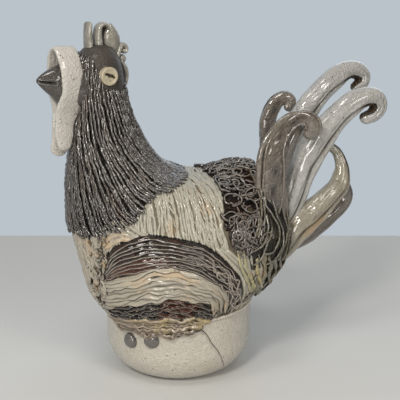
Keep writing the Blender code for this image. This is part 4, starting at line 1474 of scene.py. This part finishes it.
def head_point(forward, left, up):
    """A place on the turned head, in metres."""
    turned = np.array([
        -forward * math.cos(HEAD_TURN) + left * math.sin(HEAD_TURN),
        -forward * math.sin(HEAD_TURN) - left * math.cos(HEAD_TURN),
        up,
    ])
    return (HEAD_AXIS + turned) * POINT


beak_rings = []
mouth_painted_light = []
angles = full_circle(96)
for forward, z, half_width, half_height in smooth_route(BEAK_SECTIONS, 76):
    up = z + half_height * np.sin(angles)
    mouth = MOUTH_HEIGHT + MOUTH_RISE * (forward - MOUTH_START)
    open_share = float(fade(forward, MOUTH_START - 1, MOUTH_START + 3)) * min(1, half_width / 5)
    slit = bump(up - mouth, 0.75) * open_share
    lips = bump(up - mouth + 1.9, 0.9) + bump(up - mouth - 1.7, 0.8)
    across = half_width + 0.55 * lips * open_share - 1.7 * slit
    left = across * np.cos(angles)
    beak_rings.append(np.array([head_point(forward, a, b) for a, b in zip(left, up)]))
    # The slit is painted dark as painted shade in the mouth, and the lips lighter as a painted
    # highlight.
    mouth_painted_light += list(0.55 + 0.3 * lips * open_share - 0.75 * slit)
beak = skin("beak", beak_rings, None, head_point(BEAK_TIP[0], 0, BEAK_TIP[1]))
set_values(beak.data, "crest", np.clip(mouth_painted_light + [0.5, 0.6], 0, 1))
finish_piece(beak, beak_glaze)

# %% The strap over the beak
STRAP_THICKNESS = 0.0042
STRAP_ROUTE = [
    (36.8, 3.6, 205, 6), (36.8, 3.4, 212, 7.8), (36.2, 3.3, 221, 8.5), (34.6, 4.6, 230, 10),
    (31.8, 7.6, 239, 10.4), (30.5, 10.4, 248, 9.6), (31, 11.2, 258, 9.4), (32, 10.2, 268, 9.4),
    (32.8, 6.5, 277, 9.4), (33, 0, 281.3, 9.4), (33, -6.5, 277, 9.4), (33, -10.2, 268, 9.2),
    (33.2, -11.2, 257, 9), (33.4, -10.4, 247, 9), (32.5, -6.8, 237.5, 9.4),
    (32.8, -4.3, 229.5, 9.6), (34.8, -3.4, 219, 8.6), (35.6, -3.6, 210, 8.4),
    (38.3, -4.2, 200, 7),
]
STRAP_SIDES, STRAP_ROWS, END_ROWS, END_TURN = 28, 130, 7, 84
strap_route = smooth_route(STRAP_ROUTE, STRAP_ROWS)
places = np.array([head_point(*point[:3]) for point in strap_route])
half_widths = strap_route[:, 3] * POINT
ahead = unit(np.gradient(places, axis=0))
forward = unit(head_point(1, 0, 0) - head_point(0, 0, 0))
across = unit(forward - ahead * (ahead @ forward)[:, None])
out = np.cross(ahead, across)
angles = full_circle(STRAP_SIDES)
c = np.sign(np.cos(angles)) * abs(np.cos(angles)) ** 0.75
s = np.sign(np.sin(angles)) * abs(np.sin(angles)) ** 0.6
width_drift = 1 + 0.03 * wander(STRAP_ROWS, 3, 3)
thick_drift = 1 + 0.08 * wander(STRAP_ROWS, 3, 4)


def strap_ring(place, k, shrink):
    """A ring of the strap at a place, with the width and thickness of row k."""
    wide = across[k] * half_widths[k] * width_drift[k] * shrink
    thick = out[k] * STRAP_THICKNESS / 2 * thick_drift[k] * (0.45 + 0.55 * shrink)
    return place + c[:, None] * wide + s[:, None] * thick


strap_rings = [strap_ring(places[k], k, 1.0) for k in range(STRAP_ROWS)]
for turn in np.radians(np.linspace(0, END_TURN, END_ROWS + 1)[1:]):
    out_by = half_widths * 0.8 * math.sin(turn)
    last = STRAP_ROWS - 1
    strap_rings.insert(0, strap_ring(places[0] - ahead[0] * out_by[0], 0, math.cos(turn)))
    strap_rings.append(strap_ring(places[last] + ahead[last] * out_by[last], last, math.cos(turn)))
strap = skin("strap", strap_rings)
finish_piece(strap, strap_glaze, 0.6)

# %% [markdown]
# The comb is four short strips of grey clay set across the crown. One stands straight, one is
# folded over, one is rolled into a curl and the last hangs down the back of the head. A pressed
# leaf and a small knob sit between them, and a near-black lump stands in a hollow as painted
# shade.

# %% The comb
# Each strip's route as forward, up and half its thickness, and then half its width
COMB_STRIPS = {
    "comb_finger": (
        [(10.5, 276, 3.2), (10.4, 284, 3.2), (10.6, 292, 3.0), (10.0, 298.8, 2.6)], 5.6,
    ),
    "comb_fold": (
        [(1.6, 275, 4.4), (1.8, 283, 4.2), (2.0, 290, 3.6), (0.8, 296.2, 2.8), (-2.6, 298.8, 2.1),
         (-6.4, 297.6, 2.0), (-9.2, 293.4, 1.9)], 5.4,
    ),
    "comb_curl": (
        [(-14, 270, 2.6), (-16.4, 276.5, 2.6), (-18.8, 280.8, 2.5), (-22.2, 281.4, 2.4),
         (-23.6, 278.4, 2.3), (-22.2, 276.0, 2.0), (-20.6, 277.4, 1.6)], 4.8,
    ),
    "comb_tail": (
        [(-19, 268, 2.4), (-22.6, 263, 2.4), (-23.6, 257, 2.2), (-22.4, 250, 1.8)], 4.2,
    ),
}


def pinched(along, angle):
    """Rounded edges and a faint hollow along both faces."""
    return 1.0 - 0.14 * both_faces(angle, 0.6) + 0.03 * np.sin(9 * along + 2 * angle)


head_left = unit(head_point(0, 1, 0) - head_point(0, 0, 0))
for name, (points, half_width) in COMB_STRIPS.items():
    rows = 44
    dense = even_route(np.array([(f, up, 0, r) for f, up, r in points], float), rows)
    route = np.array([head_point(f, 0, up) for f, up, _, _ in dense])
    ahead = unit(np.gradient(route, axis=0))
    upward = np.cross(ahead, head_left)
    strip = Bundle()
    strip.add(route, upward, dense[:, 3] * POINT, 0.5, 20, half_width / dense[:, 3],
              ridges=pinched, rounded=True)
    strip.piece(name, comb_glaze)


def moulded_ball(name, centre, radii, ways, glaze, shape, crest=0.7):
    """A ball scaled to its radii, reshaped point by point, and set square to three ways."""
    bpy.ops.object.select_all(action="DESELECT")
    bpy.ops.mesh.primitive_uv_sphere_add(segments=40, ring_count=24, radius=1)
    obj = bpy.context.object
    obj.name = obj.data.name = name
    for vertex in obj.data.vertices:
        local = shape(np.array(vertex.co)) * np.array(radii) * POINT
        vertex.co = Vector(np.array(centre) + sum(np.array(ways[k]) * local[k] for k in range(3)))
    return finish_piece(obj, glaze, crest)


def leaf(point):
    """Narrows to a tip above and thins towards its edge."""
    x, y, z = point
    narrow = 1 - 0.55 * max(z, 0) ** 2
    return np.array([x * narrow + 0.12 * z, y * (0.75 + 0.25 * (1 - abs(x))), z])


def knob(point):
    """A ball pressed a little flat behind."""
    return point * [1.0 if point[0] > 0 else 0.8, 1, 1]


head_ways = (unit(head_point(1, 0, 0) - head_point(0, 0, 0)), head_left, (0, 0, 1))
# The third ball is a near-black lump where the comb has a hollow: painted shade.
COMB_BALLS = [
    ("comb_leaf", (-11, 0.6, 287.0), (7.6, 4.8, 12.4), comb_glaze, leaf),
    ("comb_knob", (-20.5, 0, 270.5), (4.2, 4.4, 3.6), comb_glaze, knob),
    ("comb_painted_shade", (-4.0, -1.5, 288.5), (5.2, 2.4, 9.4), dark_glaze, knob),
]
for name, place, radii, glaze, shape in COMB_BALLS:
    moulded_ball(name, head_point(*place), radii, head_ways, glaze, shape)

# %% [markdown]
# An eye is a button of yellowish clay: a disc with its face dished, its edge rounded by the
# thumb, and a short wavy slot pressed in for the pupil.

# %% The eyes
EYE_PLACE = (5.5, 259.5)
EYE_RADIUS = 0.0073
EYE_PROUD = 0.0030
# The width and depth of each step of the face, from the rim inwards
EYE_STEPS = [(0.0017, 0), (0.0009, -0.0005), (0.0018, 0.0002)]
EYE_EDGE = 0.0009
SLOT_ROUTE = [(-3.6, 1.7, 0.5), (-1.6, 1.5, 0.6), (0.2, 0.5, 0.7), (2.0, 0.1, 0.7),
              (3.6, -1.2, 0.5)]
SLOT_ROWS = 20
for side, word in SIDES:
    start = head_point(EYE_PLACE[0], 0, EYE_PLACE[1])
    way = unit(head_point(EYE_PLACE[0], side, EYE_PLACE[1]) - start)
    middle, _ = from_inside([body_tree], start, way)
    bpy.ops.object.select_all(action="DESELECT")
    bpy.ops.mesh.primitive_cylinder_add(vertices=64, radius=EYE_RADIUS, depth=2 * EYE_PROUD)
    eye = bpy.context.object
    eye.name = eye.data.name = f"{word}_eye"
    bpy.ops.object.mode_set(mode="EDIT")
    bpy.ops.mesh.select_all(action="DESELECT")
    bpy.ops.object.mode_set(mode="OBJECT")
    for face in eye.data.polygons:
        face.select = face.normal.z > 0.9
    bpy.ops.object.mode_set(mode="EDIT")
    for width, depth in EYE_STEPS:
        bpy.ops.mesh.inset(thickness=width, depth=depth)
    bpy.ops.object.mode_set(mode="OBJECT")
    soft = eye.modifiers.new("rounded", "BEVEL")
    soft.width, soft.segments = EYE_EDGE, 4
    soft.limit_method, soft.angle_limit = "ANGLE", math.radians(25)
    bpy.ops.object.modifier_apply(modifier=soft.name)
    slot = Bundle()
    slot_route = smooth_route(SLOT_ROUTE, SLOT_ROWS) * MM
    level = np.full(SLOT_ROWS, EYE_PROUD - 0.0004)
    deep = np.stack([slot_route[:, 0], slot_route[:, 1], level], 1)
    slot.add(deep, (0, 0, 1), slot_route[:, 2], sides=10, rounded=True)
    cut(eye, tool_of(slot, "slot"))
    # The slot of the pupil is painted dark inside: painted shade, with some pooled glaze.
    darken_near(eye, deep, 0.0011, 0.8)
    up = unit(np.array([0, 0, 1]) - way * way[2])
    right = np.cross(up, way)
    turn = Matrix((Vector(right), Vector(up), Vector(way))).transposed().to_4x4()
    eye.data.transform(Matrix.Translation(middle + way * 0.0002) @ turn)
    finish_piece(eye, eye_glaze)

# %% [markdown]
# Two toes show below each wing: drops of dark glaze over a pinched lump of clay.

# %% The toes
TOES = [(38.5, 46, 34), (57, 50.5, 38)]
TOE_RADIUS = 0.0066


def drop(point):
    """Broad and round below, narrower above."""
    x, y, z = point
    return np.array([x, y * (1.05 - 0.22 * z), z - 0.1 * (1 - y**2)])


for side, word in SIDES:
    for number, (bearing, high, low) in enumerate(TOES, 1):
        turn = math.radians(bearing)
        way = np.array([-math.cos(turn), -side * math.sin(turn), 0])
        level = (high + low) / 2 * POINT
        centre = way * (stand_radius(level) - 0.0005) + [0, 0, level]
        across = np.array([way[1], -way[0], 0])
        radii = (4.8, TOE_RADIUS / POINT * 0.98, (high - low) / 2 + 1.0)
        ways = (way, across, (0, 0, 1))
        moulded_ball(f"{word}_toe_{number}", centre, radii, ways, beak_glaze, drop, 1.0)

# %% [markdown]
# Seen from above, the two halves of the lace leave the ridge of the tail root bare. A few more
# loops cross it. They come last, so that their draws of chance change no other piece.

# %% The lace over the ridge
RIDGE_LOOPS = 34
ridge = Bundle()
for _ in range(RIDGE_LOOPS):
    x, turn = some(31, 33), 14 * (2 * chance.random() - 1)
    place, way = back_point(x, math.radians(turn), LEFT)
    lay_curl(
        ridge, place + way * some(1.2, 1.6) * MM, way, ANY_HEADING * chance.random(),
        some(4.5, 3.5) * MM, some(0.4, 0.5), 1.35 * MM, 26, some(0.5, 0.5), width=0.6, sides=8,
    )
ridge.piece("ridge_lace", lace_glaze)

# %% [markdown]
# The camera stands where the photographer stood, a little ahead of the left flank and looking
# slightly down. Two soft boxes light the front from left and right, with a low one between them
# like a window. A small one hangs above and a wide one stands behind. The room is pale behind the
# figure and darker in front of it.

# %% Camera, floor and light
CAMERA_AZIMUTH = math.radians(-14)
CAMERA_ELEVATION = math.radians(14.65)
CAMERA_DISTANCE = 0.7235
LENS_MM, SENSOR_MM = 74.25, 36
AIM = Vector((0.020, 0, 0.147))
LIGHT_AIM = Vector((0, 0, 0.12))
away = Vector((
    math.sin(CAMERA_AZIMUTH) * math.cos(CAMERA_ELEVATION),
    -math.cos(CAMERA_AZIMUTH) * math.cos(CAMERA_ELEVATION),
    math.sin(CAMERA_ELEVATION),
))
lens = bpy.data.cameras.new("camera")
lens.lens, lens.sensor_width = LENS_MM, SENSOR_MM
camera = put_in_scene("camera", lens)
camera.location = AIM + away * CAMERA_DISTANCE
camera.rotation_euler = (-away).to_track_quat("-Z", "Y").to_euler()
bpy.context.scene.camera = camera
bpy.context.scene.view_settings.view_transform = "Standard"


def softbox(name, place, size, power, colour):
    """A square light of so many metres and watts that faces the figure."""
    light = bpy.data.lights.new(name, "AREA")
    light.shape, light.size, light.energy, light.color = "SQUARE", size, power, colour
    obj = put_in_scene(name, light)
    obj.location = place
    obj.rotation_euler = (LIGHT_AIM - obj.location).to_track_quat("-Z", "Y").to_euler()


softbox("left_key", Vector((-0.62, -0.90, 0.95)), 0.27, 9, (1, 0.97, 0.91))
softbox("low_window", Vector((-0.42, -1.20, 0.36)), 0.40, 4.5, (1, 0.97, 0.92))
softbox("right_key", Vector((0.45, -1.05, 0.75)), 0.34, 3, (1, 0.97, 0.91))
softbox("overhead", Vector((-0.25, -0.35, 1.2)), 0.3, 3, (1, 0.98, 0.95))
softbox("rear", Vector((0.7, 0.8, 0.7)), 0.8, 2, (0.9, 0.95, 1))

FLOOR_WIDTH, FLOOR_BACK, FLOOR_FRONT = 3.0, 0.371, 1.0
bpy.ops.object.select_all(action="DESELECT")
facing = Vector((away.x, away.y, 0)).normalized()
middle = Vector((AIM.x, 0, 0)) - facing * (FLOOR_BACK - FLOOR_FRONT) / 2
bpy.ops.mesh.primitive_plane_add(size=1, location=middle, rotation=(0, 0, CAMERA_AZIMUTH))
bpy.context.object.scale = (FLOOR_WIDTH, FLOOR_BACK + FLOOR_FRONT, 1)
floor = bpy.context.object
floor.name = "floor"
floor_paint = Recipe("floor_paint")
floor_paint.set("Base Color", (0.60, 0.60, 0.59, 1))
floor_paint.set("Roughness", 0.7)
floor.data.materials.append(floor_paint.material)

world = bpy.data.worlds.new("pale_room")
bpy.context.scene.world = world
world.use_nodes = True
WALL_COLOUR = (0.49, 0.545, 0.59, 1)
ROOM_COLOUR = (0.165, 0.150, 0.128, 1)
WALL_FROM, WALL_TO = -0.1, 0.6
tree = world.node_tree
direction = tree.nodes.new("ShaderNodeTexCoord")
parts = tree.nodes.new("ShaderNodeSeparateXYZ")
share = tree.nodes.new("ShaderNodeMapRange")
blend = tree.nodes.new("ShaderNodeMix")
blend.data_type = "RGBA"
share.inputs["From Min"].default_value = WALL_FROM
share.inputs["From Max"].default_value = WALL_TO
blend.inputs[6].default_value = ROOM_COLOUR
blend.inputs[7].default_value = WALL_COLOUR
tree.links.new(direction.outputs["Generated"], parts.inputs[0])
tree.links.new(parts.outputs["Y"], share.inputs["Value"])
tree.links.new(share.outputs[0], blend.inputs[0])
tree.links.new(blend.outputs[2], tree.nodes["Background"].inputs["Color"])
tree.nodes["Background"].inputs["Strength"].default_value = 1.0
